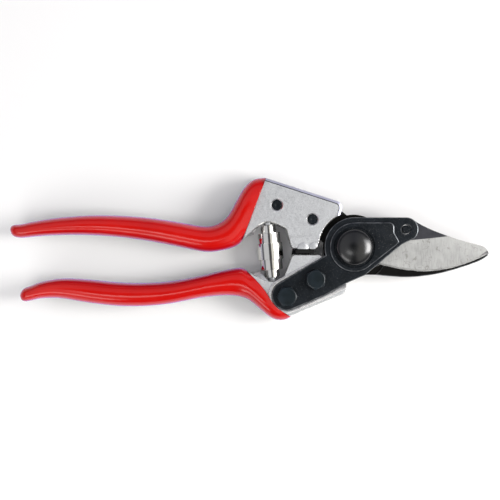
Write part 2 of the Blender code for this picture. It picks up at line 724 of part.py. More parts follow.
def volute_spring():
    middle, _, _, turn = spring_frame()
    rows = []
    per_turn = 20
    count = round(SPRING_TURNS_EACH_WAY * per_turn)
    for i in range(-count, count + 1):
        turns = abs(i) / per_turn
        radius = along_track(STRIP_RADIUS, turns)
        far, near = along_track(STRIP_FAR_EDGE, turns), along_track(STRIP_NEAR_EDGE, turns)
        low, high = (near, far) if i >= 0 else (-far, -near)
        angle = math.pi + 2 * math.pi * i / per_turn
        c, s = math.cos(angle), math.sin(angle)
        inner, outer = radius - SPRING_STRIP / 2, radius + SPRING_STRIP / 2
        rows.append([(r * c, r * s, z) for r, z in ((inner, low), (outer, low), (outer, high), (inner, high))])
    spring = loft("volute_spring", rows, "chrome")
    spring.rotation_euler = (0, math.radians(90), turn)
    spring.location = (middle.x * MM, middle.y * MM, MID_Z * MM)


def buffer_stem(name, radius, length):
    """A rod along Y, up into the foot of the upper handle."""
    stem = disc(name, BUFFER_X, 0, radius, 0, length + 1.0, sides=16)
    stem.rotation_euler.x = math.radians(90)
    stem.location = (BUFFER_X * MM, (FOOT_Y + (length - 1.0) / 2) * MM, MID_Z * MM)
    return stem


def rubber_buffer():
    low, high = LEDGE_Y + GAP, FOOT_Y - GAP
    half = BUFFER_WIDTH / 2
    pad = flat("rubber_buffer", rounded([
        (BUFFER_X - half, low, 0.5), (BUFFER_X + half, low, 0.5),
        (BUFFER_X + half, high, 0.5), (BUFFER_X - half, high, 0.5),
    ]), MID_Z - BUFFER_DEPTH / 2, MID_Z + BUFFER_DEPTH / 2, "black_rubber")
    joined(pad, buffer_stem("buffer_stem", BUFFER_STEM_R, BUFFER_STEM))


# --------------------------------------------------------------- safety catch

def catch_screw_end():
    return COUNTER_BACK - 4 * GAP


def stud_end():
    return MID_Z


def lever_outline():
    """The lever with its pivot at the origin and the locked stud on +X."""
    reach = (Vector(CATCH_STUD) - Vector(CATCH_PIVOT)).length
    slot = STUD_R + GAP
    outer = reach + slot + LEVER_HOOK_WALL
    return rounded([
        *arc(0, 0, outer, -HOOK_OPEN_SIDE, HOOK_FAR_SIDE),
        *arc(0, 0, reach + slot, HOOK_FAR_SIDE, 2, 4),
        *arc(reach, 0, slot, 0, -180, 20),
        *arc(0, 0, reach - slot, 2, HOOK_LIP, 4),
        *arc(0, 0, LEVER_EYE_R, 70, 130),
        (-LEVER_TAB, LEVER_TAB_HALF, 2.0), (-LEVER_TAB, -LEVER_TAB_HALF, 2.0),
        *arc(0, 0, LEVER_EYE_R, -130, -70),
    ])


def safety_catch():
    axis = bpy.data.objects.new("catch_axis", None)
    axis.location = (CATCH_PIVOT[0] * MM, CATCH_PIVOT[1] * MM, 0)
    PARTS.objects.link(axis)
    lever = flat("catch_lever", lever_outline(), LEVER_BACK, LEVER_FRONT, "blackened_steel")
    lever.parent = axis
    locked = Vector(CATCH_STUD) - Vector(CATCH_PIVOT)
    lever.rotation_euler.z = math.atan2(locked.y, locked.x) - math.radians(CATCH_THROW)
    eye = disc("lever_eye", *CATCH_PIVOT, CATCH_SCREW_R + GAP, LEVER_BACK - CUT_PAST, LEVER_FRONT + CUT_PAST)
    cut(lever, eye)

    head = LEVER_BACK - GAP
    turned("catch_screw", *CATCH_PIVOT, [
        (0, catch_screw_end()), (CATCH_SCREW_R, catch_screw_end()), (CATCH_SCREW_R, head),
        (CATCH_HEAD_R, head), (CATCH_HEAD_R, head - CATCH_HEAD_HEIGHT), (0, head - CATCH_HEAD_HEIGHT),
    ], "bright_steel", 24)
    turned("catch_wave_washer", *CATCH_PIVOT, tube_profile(
        CATCH_SCREW_R + GAP, CATCH_WASHER_R, HEAD_BACK, HEAD_BACK + CATCH_WASHER_THICKNESS,
    ), "bright_steel", 24)
    turned("catch_stud", *CATCH_STUD, [
        (0, stud_end()), (STUD_R, stud_end()), (STUD_R, LEVER_BACK - GAP),
        (STUD_HEAD_R, LEVER_BACK - GAP), (STUD_HEAD_R, LEVER_BACK - GAP - STUD_HEAD_HEIGHT),
        (0, LEVER_BACK - GAP - STUD_HEAD_HEIGHT),
    ], "bright_steel", 24)


def hang_on_pivot():
    """What turns with the lower handle hangs on an empty on the pivot axis."""
    axis = bpy.data.objects.new("pivot_axis", None)
    PARTS.objects.link(axis)
    for item in PARTS.objects:
        if item.name.startswith(("lower_", "blade_plate", "blade_pin", "cutting_", "plate_", "catch_stud")):
            item.parent = axis


def shade_round_pieces():
    for item in PARTS.objects:
        if item.type == "MESH":
            item.data.shade_smooth()
            item.data.set_sharp_from_angle(angle=math.radians(35))


def main():
    sleeve("upper_grip", UPPER_STATIONS)
    rivet_holes = upper_handle()
    bolt_holes = lower_handle()
    blades(bolt_holes, rivet_holes)
    plate_bolts()
    rivets()
    pivot_set()
    volute_spring()
    rubber_buffer()
    safety_catch()
    hang_on_pivot()
    shade_round_pieces()


main()
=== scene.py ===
"""Looks of the pruning shears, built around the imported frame.

Shapes are drawn in millimetres in the frame's own axes: the pivot is on Z at the
origin, the blades point along +X, and the shears lie on the plane z = 0.
"""
import math

import bmesh
import bpy
from mathutils import Matrix, Vector


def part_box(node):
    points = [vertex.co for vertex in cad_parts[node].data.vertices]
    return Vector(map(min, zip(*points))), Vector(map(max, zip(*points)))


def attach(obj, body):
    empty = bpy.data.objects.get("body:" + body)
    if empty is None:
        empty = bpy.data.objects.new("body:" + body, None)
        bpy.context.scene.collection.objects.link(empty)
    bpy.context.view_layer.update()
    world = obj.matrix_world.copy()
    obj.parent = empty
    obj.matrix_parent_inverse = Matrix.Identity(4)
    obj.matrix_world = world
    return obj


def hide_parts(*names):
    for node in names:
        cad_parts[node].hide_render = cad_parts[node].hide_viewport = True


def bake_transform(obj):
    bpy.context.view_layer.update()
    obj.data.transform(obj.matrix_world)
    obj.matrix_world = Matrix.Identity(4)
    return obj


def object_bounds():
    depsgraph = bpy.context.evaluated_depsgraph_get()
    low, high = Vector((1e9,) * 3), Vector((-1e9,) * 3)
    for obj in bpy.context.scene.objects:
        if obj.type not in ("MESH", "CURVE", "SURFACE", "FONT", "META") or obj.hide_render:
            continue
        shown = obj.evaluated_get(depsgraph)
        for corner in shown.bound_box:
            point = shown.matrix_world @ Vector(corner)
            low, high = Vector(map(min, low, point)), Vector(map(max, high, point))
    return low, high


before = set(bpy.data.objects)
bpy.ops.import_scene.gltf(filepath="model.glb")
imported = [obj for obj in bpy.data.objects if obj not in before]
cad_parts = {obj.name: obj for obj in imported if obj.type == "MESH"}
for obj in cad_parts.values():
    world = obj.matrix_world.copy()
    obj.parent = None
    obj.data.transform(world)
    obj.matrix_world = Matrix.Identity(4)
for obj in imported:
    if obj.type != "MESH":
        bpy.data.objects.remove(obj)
CAD_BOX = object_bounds()

MM = 0.001


def levels(node):
    """Lowest and highest point of a CAD node, in millimetres."""
    low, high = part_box(node)
    return low.z / MM, high.z / MM


HEAD_BACK, HEAD_FRONT = levels("upper_handle")
COUNTER_BACK, COUNTER_FRONT = levels("counter_blade")
BLADE_BACK, BLADE_FRONT = levels("cutting_blade")
PLATE_BACK, PANEL_FRONT = levels("blade_plate")
PANEL_RISE = 0.6
PLATE_FRONT = PANEL_FRONT - PANEL_RISE
GRIP_BACK, GRIP_FRONT = levels("upper_grip")
MID_Z = (HEAD_BACK + HEAD_FRONT) / 2

# The clearance between neighbours, and how far a cutter runs out past what it cuts
GAP = 0.3
PAST = 2.0

# Where things stand on the heads and the plate; a bolt also has its head's turn in degrees
RIVETS = {"rear": (-34.0, 18.6), "front": (-18.3, 12.3)}
BOLTS = {"tail": (-29.6, -21.7, 32.0), "middle": (-17.0, -14.2, -3.0)}
CATCH = (-21.2, 5.6)
STUD = (-17.4, -6.7)
LOBE = (22.8, 7.8)
LOBE_R = 5.3
TAIL = (-29.8, -21.3)
TAIL_R = 6.4
HEAD_ARC_R = 15.2

# Radii of the holes for the bush, bolts, rivets and pin, and of the nuts' six-sided pockets
BUSH_HOLE = 6.5
BOLT_HOLE = 2.8
RIVET_HOLE = 2.5
PIN_HOLE = 2.15
NUT_POCKET = 4.98


# ------------------------------------------------------------------ finishes

def colour_ramp(tree, source, stops):
    """A colour ramp; a stop is (place, grey or colour)."""
    node = tree.nodes.new("ShaderNodeValToRGB")
    elements = node.color_ramp.elements
    while len(elements) < len(stops):
        elements.new(0.5)
    for element, (place, colour) in zip(elements, stops):
        element.position = place
        colour = colour if isinstance(colour, tuple) else (colour,) * 3
        element.color = (*colour, 1.0)
    tree.links.new(source, node.inputs["Fac"])
    return node.outputs["Color"]


class Finish:
    """A Principled material with a few short-hands for wiring its pattern."""

    def __init__(self, name, colour, roughness, metallic=0.0, **sockets):
        self.material = bpy.data.materials.new(name)
        self.material.use_nodes = True
        self.tree = self.material.node_tree
        self.shader = self.tree.nodes["Principled BSDF"]
        self.set("Base Color", (*colour, 1.0))
        self.set("Roughness", roughness)
        self.set("Metallic", metallic)
        for socket, value in sockets.items():
            self.set(socket.replace("_", " "), value)
        self.place = self.tree.nodes.new("ShaderNodeTexCoord").outputs["Object"]

    def set(self, socket, value):
        self.shader.inputs[socket].default_value = value

    def link(self, source, target):
        self.tree.links.new(source, target)

    def stretched(self, scale, turn=0.0):
        node = self.tree.nodes.new("ShaderNodeMapping")
        node.inputs["Scale"].default_value = scale
        node.inputs["Rotation"].default_value = (0, 0, math.radians(turn))
        self.link(self.place, node.inputs["Vector"])
        return node.outputs["Vector"]

    def noise(self, scale, detail=3.0, roughness=0.5, vector=None, distortion=0.0):
        node = self.tree.nodes.new("ShaderNodeTexNoise")
        node.inputs["Scale"].default_value = scale
        node.inputs["Detail"].default_value = detail
        node.inputs["Roughness"].default_value = roughness
        node.inputs["Distortion"].default_value = distortion
        self.link(vector or self.place, node.inputs["Vector"])
        return node.outputs["Fac"]

    def ramp(self, source, stops):
        return colour_ramp(self.tree, source, stops)

    def mix(self, share, first, second):
        node = self.tree.nodes.new("ShaderNodeMix")
        node.data_type = "RGBA"
        for socket, value in (("Factor", share), ("A", first), ("B", second)):
            target = [s for s in node.inputs if s.name == socket and s.enabled][0]
            if isinstance(value, tuple):
                target.default_value = (*value, 1.0)
            elif isinstance(value, float):
                target.default_value = value
            else:
                self.link(value, target)
        return [s for s in node.outputs if s.enabled][0]

    def bump(self, height, distance, below=None):
        node = self.tree.nodes.new("ShaderNodeBump")
        node.inputs["Distance"].default_value = distance * MM
        node.inputs["Strength"].default_value = 1.0
        self.link(height, node.inputs["Height"])
        if below:
            self.link(below, node.inputs["Normal"])
        return node.outputs["Normal"]

    def use(self, socket, source):
        self.link(source, self.shader.inputs[socket])
        return self


def red_vinyl():
    """Glossy dip-moulded vinyl with a faint ripple and slightly uneven colour, and a blue-purple sheen that
    paints a bluish backdrop's reflection along its edges.
    """
    made = Finish("red_vinyl", (0.55, 0.005, 0.002), 0.15, Specular_IOR_Level=0.42)
    # The blue-purple sheen tint is a painted reflection of a bluish backdrop, not a colour of the vinyl
    made.set("Sheen Weight", 1.0)
    made.set("Sheen Roughness", 0.30)
    made.set("Sheen Tint", (0.12, 0.06, 0.60, 1.0))
    cloud = made.noise(35, 4)
    made.use("Base Color", made.ramp(cloud, [(0.3, (0.50, 0.003, 0.001)), (0.7, (0.59, 0.005, 0.002))]))
    made.use("Roughness", made.ramp(made.noise(160, 5), [(0.3, 0.11), (0.75, 0.19)]))
    ripple = made.bump(made.noise(110, 2), 0.12)
    made.use("Normal", made.bump(made.noise(900, 3), 0.01, below=ripple))
    return made.material


def forged_aluminium():
    """Shot-blasted forging: fine grey grain, small pits and soft cloudiness."""
    made = Finish("forged_aluminium", (0.60, 0.61, 0.63), 0.42, 0.85)
    grain = made.noise(2600, 6, 0.65)
    cloud = made.noise(120, 4, 0.6)
    speckle = made.ramp(grain, [
        (0.32, (0.35, 0.36, 0.37)), (0.50, (0.505, 0.515, 0.525)), (0.72, (0.63, 0.64, 0.65)),
    ])
    veil = made.ramp(cloud, [(0.35, 0.0), (0.8, 0.35)])
    made.use("Base Color", made.mix(veil, speckle, (0.43, 0.44, 0.455)))
    made.use("Roughness", made.ramp(made.noise(700, 4), [(0.3, 0.36), (0.7, 0.50)]))
    made.use("Normal", made.bump(grain, 0.06, below=made.bump(cloud, 0.07)))
    return made.material


def polished_edge():
    """The forgings' sloped rims, rounded edges and hole mouths, smoother than their blasted faces."""
    made = Finish("polished_aluminium_edge", (0.86, 0.86, 0.86), 0.26, 0.95)
    made.use("Roughness", made.ramp(made.noise(300, 3), [(0.3, 0.22), (0.7, 0.30)]))
    return made.material


def drafted_band_painted_reflection():
    """The upper forging's wide drafted band, duller than its rounded edges, with a bluish reflection of a
    backdrop painted into its colour.
    """
    made = Finish("drafted_band_painted_reflection", (0.42, 0.42, 0.52), 0.40, 0.7)
    cloud = made.noise(160, 4)
    made.use("Base Color", made.ramp(cloud, [(0.3, (0.38, 0.385, 0.48)), (0.7, (0.46, 0.46, 0.56))]))
    return made.material


def painted_shade_step():
    """Painted shade: a dark line laid in the shallow steps of the forgings' faces, where shade falls."""
    made = Finish("painted_shade_step", (0.08, 0.085, 0.095), 0.55, 0.3)
    shade_variation = made.noise(300, 4)
    made.use("Base Color", made.ramp(shade_variation, [(0.35, (0.015, 0.018, 0.020)), (0.7, (0.06, 0.065, 0.072))]))
    return made.material


def blackened_steel():
    """Blue-black oxide with a dry, slightly dusty grain."""
    made = Finish("blackened_steel", (0.020, 0.024, 0.029), 0.42, Specular_IOR_Level=0.11)
    cloud = made.noise(180, 5, 0.6)
    dust = made.noise(2100, 4, 0.7)
    coat = made.ramp(cloud, [(0.3, (0.003, 0.005, 0.007)), (0.7, (0.009, 0.012, 0.016))])
    made.use("Base Color", made.mix(made.ramp(dust, [(0.60, 0.0), (0.70, 0.55)]), coat, (0.22, 0.22, 0.215)))
    made.use("Roughness", made.ramp(made.noise(600, 4), [(0.3, 0.34), (0.7, 0.52)]))
    made.use("Normal", made.bump(dust, 0.02, below=made.bump(cloud, 0.03)))
    return made.material


def worn_edge_and_painted_highlight():
    """Oxide rubbed thin on the rounded edges of plates and bolt heads, lightened further as a painted
    highlight.
    """
    made = Finish("worn_black_edge_and_painted_highlight", (0.11, 0.12, 0.13), 0.30, 0.8)
    rub_and_highlight = made.noise(420, 4)
    made.use("Base Color", made.ramp(rub_and_highlight, [(0.35, (0.05, 0.055, 0.062)), (0.7, (0.20, 0.21, 0.22))]))
    return made.material


def black_enamel():
    """Wet-looking black with grease-dulled patches."""
    made = Finish("black_enamel", (0.002, 0.0025, 0.003), 0.18, 0.0, Specular_IOR_Level=0.6)
    made.use("Roughness", made.ramp(made.noise(220, 5, 0.6), [(0.35, 0.18), (0.75, 0.28)]))
    made.use("Normal", made.bump(made.noise(500, 3), 0.006))
    return made.material


def hexagon_black():
    """Bolt heads: the same oxide, a little lighter and bluer."""
    made = Finish("hexagon_black", (0.020, 0.026, 0.032), 0.34, Specular_IOR_Level=0.16)
    cloud = made.noise(260, 4)
    made.use("Base Color", made.ramp(cloud, [(0.3, (0.004, 0.008, 0.010)), (0.7, (0.012, 0.019, 0.025))]))
    made.use("Normal", made.bump(made.noise(1200, 4), 0.012))
    return made.material


def ground_steel():
    """Blade face: ground across its width, with scuffs and stains from use."""
    made = Finish("ground_steel", (0.44, 0.435, 0.42), 0.42, 0.85)
    lines = made.noise(1.0, 5, 0.6, made.stretched((2600, 260, 400), 12))
    scuff = made.noise(380, 7, 0.70, distortion=0.9)
    stain = made.noise(85, 4, 0.6)
    tone = made.ramp(lines, [(0.3, (0.27, 0.272, 0.267)), (0.7, (0.41, 0.41, 0.402))])
    tone = made.mix(made.ramp(stain, [(0.42, 0.0), (0.70, 0.55)]), tone, (0.50, 0.50, 0.49))
    tone = made.mix(made.ramp(scuff, [(0.57, 0.0), (0.63, 0.62)]), tone, (0.17, 0.165, 0.15))
    made.use("Base Color", tone)
    made.use("Roughness", made.ramp(scuff, [(0.3, 0.38), (0.7, 0.55)]))
    made.use("Normal", made.bump(lines, 0.012, below=made.bump(scuff, 0.02)))
    return made.material


def honed_edge():
    """The narrow bevel honed along the cutting edge."""
    made = Finish("honed_edge", (0.42, 0.42, 0.41), 0.22, 1.0)
    fine = made.noise(1.0, 4, 0.6, made.stretched((500, 3000, 800), -8))
    made.use("Base Color", made.ramp(fine, [(0.3, (0.26, 0.26, 0.25)), (0.7, (0.58, 0.58, 0.56))]))
    return made.material


def coated_spine():
    """Low-friction coating on the blade's spine."""
    made = Finish("coated_spine", (0.055, 0.052, 0.060), 0.42, Specular_IOR_Level=0.25)
    cloud = made.noise(240, 5)
    made.use("Base Color", made.ramp(cloud, [(0.3, (0.026, 0.027, 0.033)), (0.7, (0.046, 0.046, 0.054))]))
    made.use("Normal", made.bump(made.noise(1500, 3), 0.010))
    return made.material


def counter_black():
    """Counter blade: near black with a brown cast and fine grit."""
    made = Finish("counter_black", (0.013, 0.012, 0.011), 0.38, Specular_IOR_Level=0.07)
    cloud = made.noise(200, 5, 0.65)
    made.use("Base Color", made.ramp(cloud, [(0.3, (0.002, 0.002, 0.002)), (0.75, (0.007, 0.0065, 0.0055))]))
    made.use("Normal", made.bump(made.noise(1800, 4), 0.018))
    return made.material


def spring_chrome():
    made = Finish("spring_chrome", (0.62, 0.615, 0.59), 0.09, 1.0)
    streak = made.noise(1.0, 3, 0.5, made.stretched((900, 120, 900)))
    made.use("Roughness", made.ramp(streak, [(0.35, 0.06), (0.8, 0.14)]))
    made.use("Normal", made.bump(made.noise(260, 2), 0.010))
    return made.material


def turned_steel():
    made = Finish("turned_steel", (0.50, 0.50, 0.49), 0.30, 0.95)
    stain = made.noise(300, 5, 0.6)
    made.use("Base Color", made.ramp(stain, [(0.3, (0.38, 0.38, 0.37)), (0.7, (0.58, 0.58, 0.57))]))
    made.use("Roughness", made.ramp(made.noise(800, 3), [(0.3, 0.24), (0.7, 0.40)]))
    return made.material


def oiled_bronze():
    made = Finish("oiled_bronze", (0.30, 0.21, 0.08), 0.28, 0.9)
    oil = made.noise(260, 4)
    made.use("Base Color", made.ramp(oil, [(0.35, (0.10, 0.075, 0.03)), (0.7, (0.40, 0.29, 0.11))]))
    return made.material


def black_rubber():
    made = Finish("black_rubber", (0.005, 0.005, 0.005), 0.75, Specular_IOR_Level=0.2)
    made.use("Normal", made.bump(made.noise(1300, 4), 0.03))
    return made.material


# ------------------------------------------------------------- shaping tools

def arc(cx, cy, radius, start, end, step=5.0):
    """Points on a circle from start to end degrees, either way round."""
    count = max(2, round(abs(end - start) / step) + 1)
    angles = [math.radians(start + (end - start) * i / (count - 1)) for i in range(count)]
    return [(cx + radius * math.cos(a), cy + radius * math.sin(a)) for a in angles]


def flowing(points, steps):
    """A smooth line through points of two or more values, with steps between neighbours."""
    out = []
    padded = [Vector(point) for point in (points[0], *points, points[-1])]
    for a, b, c, d in zip(padded, padded[1:], padded[2:], padded[3:]):
        bend = 2 * a - 5 * b + 4 * c - d
        twist = 3 * b - a - 3 * c + d
        for i in range(steps):
            t = i / steps
            out.append(tuple(0.5 * (2 * b + (c - a) * t + bend * t ** 2 + twist * t ** 3)))
    out.append(tuple(points[-1]))
    return out


def circle_at(y):
    """The direction in degrees where the heads' arc about the pivot passes height y on the left."""
    return math.degrees(math.atan2(y, -math.sqrt(HEAD_ARC_R ** 2 - y ** 2))) % 360


def slab(outline, low, high):
    """A flat outline given thickness; a point (x, y, r) is a rounded corner."""
    shape = bmesh.new()
    verts = [shape.verts.new((p[0], p[1], low)) for p in outline]
    shape.faces.new(verts)
    for i, (vert, point) in enumerate(zip(verts, outline)):
        if len(point) < 3:
            continue
        here = Vector(point[:2])
        before = Vector(outline[i - 1][:2]) - here
        after = Vector(outline[(i + 1) % len(outline)][:2]) - here
        reach = min(point[2] / math.tan(before.angle(after) / 2), 0.49 * before.length, 0.49 * after.length)
        bmesh.ops.bevel(
            shape, geom=[vert], offset=reach, offset_type="OFFSET", segments=8,
            profile=0.5, affect="VERTICES", material=-1,
        )
    grown = bmesh.ops.extrude_face_region(shape, geom=shape.faces[:])["geom"]
    lifted = [v for v in grown if isinstance(v, bmesh.types.BMVert)]
    bmesh.ops.translate(shape, verts=lifted, vec=(0, 0, high - low))
    bmesh.ops.recalc_face_normals(shape, faces=shape.faces)
    return shape


def rod(x, y, radius, low, high, sides=64, turn=0.0):
    """A round or many-sided bar parallel to the pivot."""
    shape = bmesh.new()
    place = Matrix.Translation((x, y, (low + high) / 2)) @ Matrix.Rotation(math.radians(turn), 4, "Z")
    bmesh.ops.create_cone(
        shape, cap_ends=True, segments=sides, radius1=radius, radius2=radius,
        depth=high - low, matrix=place,
    )
    return shape


def lathe(profile, x=0.0, y=0.0, steps=96):
    """A profile of (radius, z) spun about a line parallel to the pivot."""
    shape = bmesh.new()
    verts = [shape.verts.new((x + radius, y, z)) for radius, z in profile]
    edges = [shape.edges.new(pair) for pair in zip(verts, verts[1:])]
    bmesh.ops.spin(
        shape, geom=verts + edges, cent=(x, y, 0), axis=(0, 0, 1), angle=2 * math.pi,
        steps=steps, use_merge=True, use_duplicate=False,
    )
    bmesh.ops.remove_doubles(shape, verts=shape.verts, dist=0.0005)
    bmesh.ops.recalc_face_normals(shape, faces=shape.faces)
    return shape


def bore(x, y, radius, low, high, flare=0.35, sides=64):
    """A cutter for a round hole whose upper mouth is flared; the flare takes the second finish."""
    return sloped_in_second_finish(lathe([
        (0, high + 1), (radius + flare + 1, high + 1), (radius, high - flare),
        (radius, low - 1), (0, low - 1),
    ], x, y, sides))


def sloped_in_second_finish(shape):
    for face in shape.faces:
        if 0.1 < abs(face.normal.z) < 0.9:
            face.material_index = 1
    return shape


def sweep(sections):
    """A solid drawn out from section to section, each a ring of points."""
    shape = bmesh.new()
    face = shape.faces.new([shape.verts.new(p) for p in sections[0]])
    for section in sections[1:]:
        face = bmesh.ops.extrude_discrete_faces(shape, faces=[face])["faces"][0]
        for vert, point in zip(face.verts, section):
            vert.co = point
    bmesh.ops.holes_fill(shape, edges=shape.edges, sides=0)
    bmesh.ops.recalc_face_normals(shape, faces=shape.faces)
    return shape


def as_object(name, shape, finishes):
    """Puts a shape in the scene as it is, and frees it."""
    mesh = bpy.data.meshes.new(name)
    shape.to_mesh(mesh)
    shape.free()
    for finish in finishes:
        mesh.materials.append(finish)
    item = bpy.data.objects.new(name, mesh)
    bpy.context.scene.collection.objects.link(item)
    return item


def smooth_object(name, shape, finishes, degrees):
    """Puts a shape drawn in millimetres in the scene, smooth but for edges sharper than so many degrees."""
    bmesh.ops.scale(shape, vec=(MM, MM, MM), verts=shape.verts)
    item = as_object(name, shape, finishes)
    item.data.shade_smooth()
    item.data.set_sharp_from_angle(angle=math.radians(degrees))
    return item


def combined(shape, others, operation):
    """The shape cut by, joined with or kept within the others; empty slots keep their finish numbers."""
    slots = [None] * 4
    base = as_object("work", shape, slots)
    tools = [as_object("tool", other, slots) for other in others]
    for tool in tools:
        step = base.modifiers.new("step", "BOOLEAN")
        step.operation = operation
        step.solver = "EXACT"
        step.object = tool
    bpy.context.view_layer.update()
    graph = bpy.context.evaluated_depsgraph_get()
    mesh = bpy.data.meshes.new_from_object(base.evaluated_get(graph))
    out = bmesh.new()
    out.from_mesh(mesh)
    bmesh.ops.remove_doubles(out, verts=out.verts, dist=0.002)
    bmesh.ops.dissolve_limit(out, angle_limit=0.005, verts=out.verts, edges=out.edges)
    for item in [base, *tools]:
        data = item.data
        bpy.data.objects.remove(item, do_unlink=True)
        bpy.data.meshes.remove(data)
    bpy.data.meshes.remove(mesh)
    return out


def sharp_edges(shape, degrees, where):
    limit = math.radians(degrees)
    found = []
    for edge in shape.edges:
        if len(edge.link_faces) == 2 and edge.calc_face_angle(0.0) > limit:
            if where is None or where((edge.verts[0].co + edge.verts[1].co) / 2, edge):
                found.append(edge)
    return found


def eased(shape, width, segments=3, degrees=30, where=None, finish=0):
    """Rounds the sharp edges, and gives the new faces a finish of their own."""
    edges = sharp_edges(shape, degrees, where)
    new = bmesh.ops.bevel(
        shape, geom=edges, offset=width, offset_type="OFFSET", segments=segments,
        profile=0.5, affect="EDGES", clamp_overlap=True, material=-1,
    )
    if finish:
        for face in new["faces"]:
            face.material_index = finish
    return shape


def at_level(z):
    """Picks the edges that lie flat at a level."""
    return lambda middle, edge: all(abs(v.co.z - z) < 0.02 for v in edge.verts)


def finished(name, shape, body, finishes, nodes, smooth=35, refine=0):
    """Puts a drawn shape in the scene as a piece of the shears."""
    item = smooth_object(name, shape, finishes, smooth)
    if refine:
        skin = item.modifiers.new("skin", "SUBSURF")
        skin.levels = refine
        skin.render_levels = refine
    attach(item, body)
    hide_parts(*nodes)
    return item


# ------------------------------------------------------------------- sleeves

# A station is the handle's upper edge, its lower edge and its share of full depth
UPPER_STATIONS = [
    ((-152.0, 8.2), (-151.6, 6.3), 0.26),
    ((-151.5, 9.3), (-150.9, 5.2), 0.50),
    ((-150.0, 10.0), (-149.4, 4.4), 0.68),
    ((-147.0, 10.2), (-146.6, 4.1), 0.80),
    ((-142.0, 11.3), (-141.8, 4.6), 0.90),
    ((-132.0, 12.9), (-132.0, 5.3), 0.97),
    ((-118.0, 14.1), (-118.0, 5.4), 1.0),
    ((-104.0, 14.0), (-104.0, 4.5), 1.0),
    ((-90.0, 13.0), (-90.0, 2.6), 1.0),
    ((-77.0, 11.0), (-77.5, 0.2), 1.0),
    ((-66.4, 9.2), (-66.0, -2.1), 1.0),
    ((-60.4, 10.2), (-58.4, -1.5), 1.0),
    ((-55.8, 13.6), (-53.6, -0.2), 1.0),
    ((-52.2, 19.8), (-51.2, 1.0), 1.0),
    ((-48.4, 26.4), (-50.2, 1.8), 1.0),
    ((-44.0, 30.2), (-49.7, 2.4), 0.98),
    ((-38.6, 30.9), (-49.3, 2.9), 0.94),
]
LOWER_STATIONS = [
    ((-147.6, -21.3), (-147.2, -22.9), 0.26),
    ((-147.2, -19.8), (-146.5, -23.7), 0.50),
    ((-145.8, -18.1), (-144.9, -24.0), 0.68),
    ((-143.2, -17.2), (-142.2, -23.5), 0.80),
    ((-138.2, -15.3), (-137.6, -22.6), 0.90),
    ((-129.4, -13.8), (-129.4, -22.6), 0.97),
    ((-118.0, -14.2), (-118.0, -24.5), 1.0),
    ((-105.0, -15.5), (-105.0, -26.0), 1.0),
    ((-92.0, -15.8), (-92.0, -26.1), 1.0),
    ((-79.5, -14.9), (-80.5, -24.9), 1.0),
    ((-68.0, -12.7), (-69.5, -22.7), 1.0),
    ((-58.0, -10.3), (-60.0, -21.5), 1.0),
    ((-52.0, -9.2), (-52.4, -21.5), 1.0),
    ((-49.6, -9.2), (-46.6, -23.1), 1.0),
    ((-48.6, -9.5), (-41.4, -27.4), 1.0),
    ((-48.1, -9.7), (-36.0, -31.6), 1.0),
    ((-47.8, -9.9), (-31.0, -32.3), 0.98),
    ((-47.5, -10.1), (-27.4, -30.7), 0.94),
]
WALL = 1.2
CORE_HALF = 5.4
SECTION_POINTS = 28
LOWER_BOW = 2.0
BOW_PLACE = -0.42
BOW_SPREAD = 0.42


def denser(stations):
    """Stations filled in along smooth lines through the given ones, three to a step."""
    flat = [(*top, *low, share) for top, low, share in stations]
    return [((r[0], r[1]), (r[2], r[3]), min(r[4], 1.0)) for r in flowing(flat, 3)]


def bowed(bow, across):
    """How far a mouth is pushed back at a place between its lower edge, -1, and its upper edge, 1."""
    return bow * math.exp(-((across - BOW_PLACE) / BOW_SPREAD) ** 2)


def section(station, half_depth, inset=0.0, roundness=2.5, bow=0.0, squeeze=1.0):
    """One rounded cross-section; bow pushes part of a mouth back round the plate."""
    top, low, share = station
    top, low = Vector((*top, 0)), Vector((*low, 0))
    middle = (top + low) / 2 + Vector((0, 0, MID_Z))
    across = (top - low) / 2
    length = across.length
    unit = across.normalized()
    back = Vector((unit.y, -unit.x, 0)) * -1
    points = []
    for i in range(SECTION_POINTS):
        a = 2 * math.pi * (i + 0.5) / SECTION_POINTS
        c, s = math.cos(a), math.sin(a)
        u = math.copysign(abs(c) ** (2 / roundness), c)
        v = math.copysign(abs(s) ** (2 / roundness), s)
        flat = middle + unit * u * (length - inset) * squeeze + back * bowed(bow, u)
        points.append(flat + Vector((0, 0, v * half_depth * share)))
    return points


def mouth_cut(stations, bow):
    """A cutter for everything on the sleeve's side of its mouth, a hair inside it."""
    hair = 0.05
    (tx, ty), (bx, by), _ = stations[-1]
    top, low = Vector((tx, ty)), Vector((bx, by))
    unit = (top - low).normalized()
    back = Vector((-unit.y, unit.x))
    line = []
    for i in range(-4, 29):
        u = 1 - i / 12
        place = (top + low) / 2 + unit * u * (top - low).length / 2
        line.append(tuple(place + back * (bowed(bow, u) - hair)))
    far = [tuple(Vector(line[-1]) + back * 12), tuple(Vector(line[0]) + back * 12)]
    return slab([*line, *far], GRIP_BACK - PAST, GRIP_FRONT + PAST)


def grip(name, stations, body, finish, bow=0.0):
    """A sleeve: out along the handle to a rolled lip, then back up its hollow."""
    depth = (GRIP_FRONT - GRIP_BACK) / 2
    dense = denser(stations)
    last = len(dense) - 1

    def mouth_bow(i):
        return bow * max(0.0, 1 - (last - i) / 7) ** 2

    outside = [section(s, depth, 0, 2.5, mouth_bow(i)) for i, s in enumerate(dense)]
    lip = [
        section(dense[-1], depth, 0.25, 2.5, bow),
        section(dense[-1], depth * 0.93, 0.8, 2.5, bow),
    ]
    inside = [
        section(s, CORE_HALF + GAP, WALL, 2.7, mouth_bow(last - 3 * i))
        for i, s in enumerate(reversed(dense[12::3]))
    ]
    shape = sweep([*outside, *lip, *inside])
    item = finished(name, shape, body, [finish], [name], smooth=60, refine=1)
    item.visible_diffuse = False
    return item


# --------------------------------------------------------------------- heads

UPPER_CORNER = (-4.4, 19.6, 3.4)
UPPER_SHOULDER = (-39.3, 30.9)
UPPER_ARC_END = 14.0
RIM_GROW = 1.55


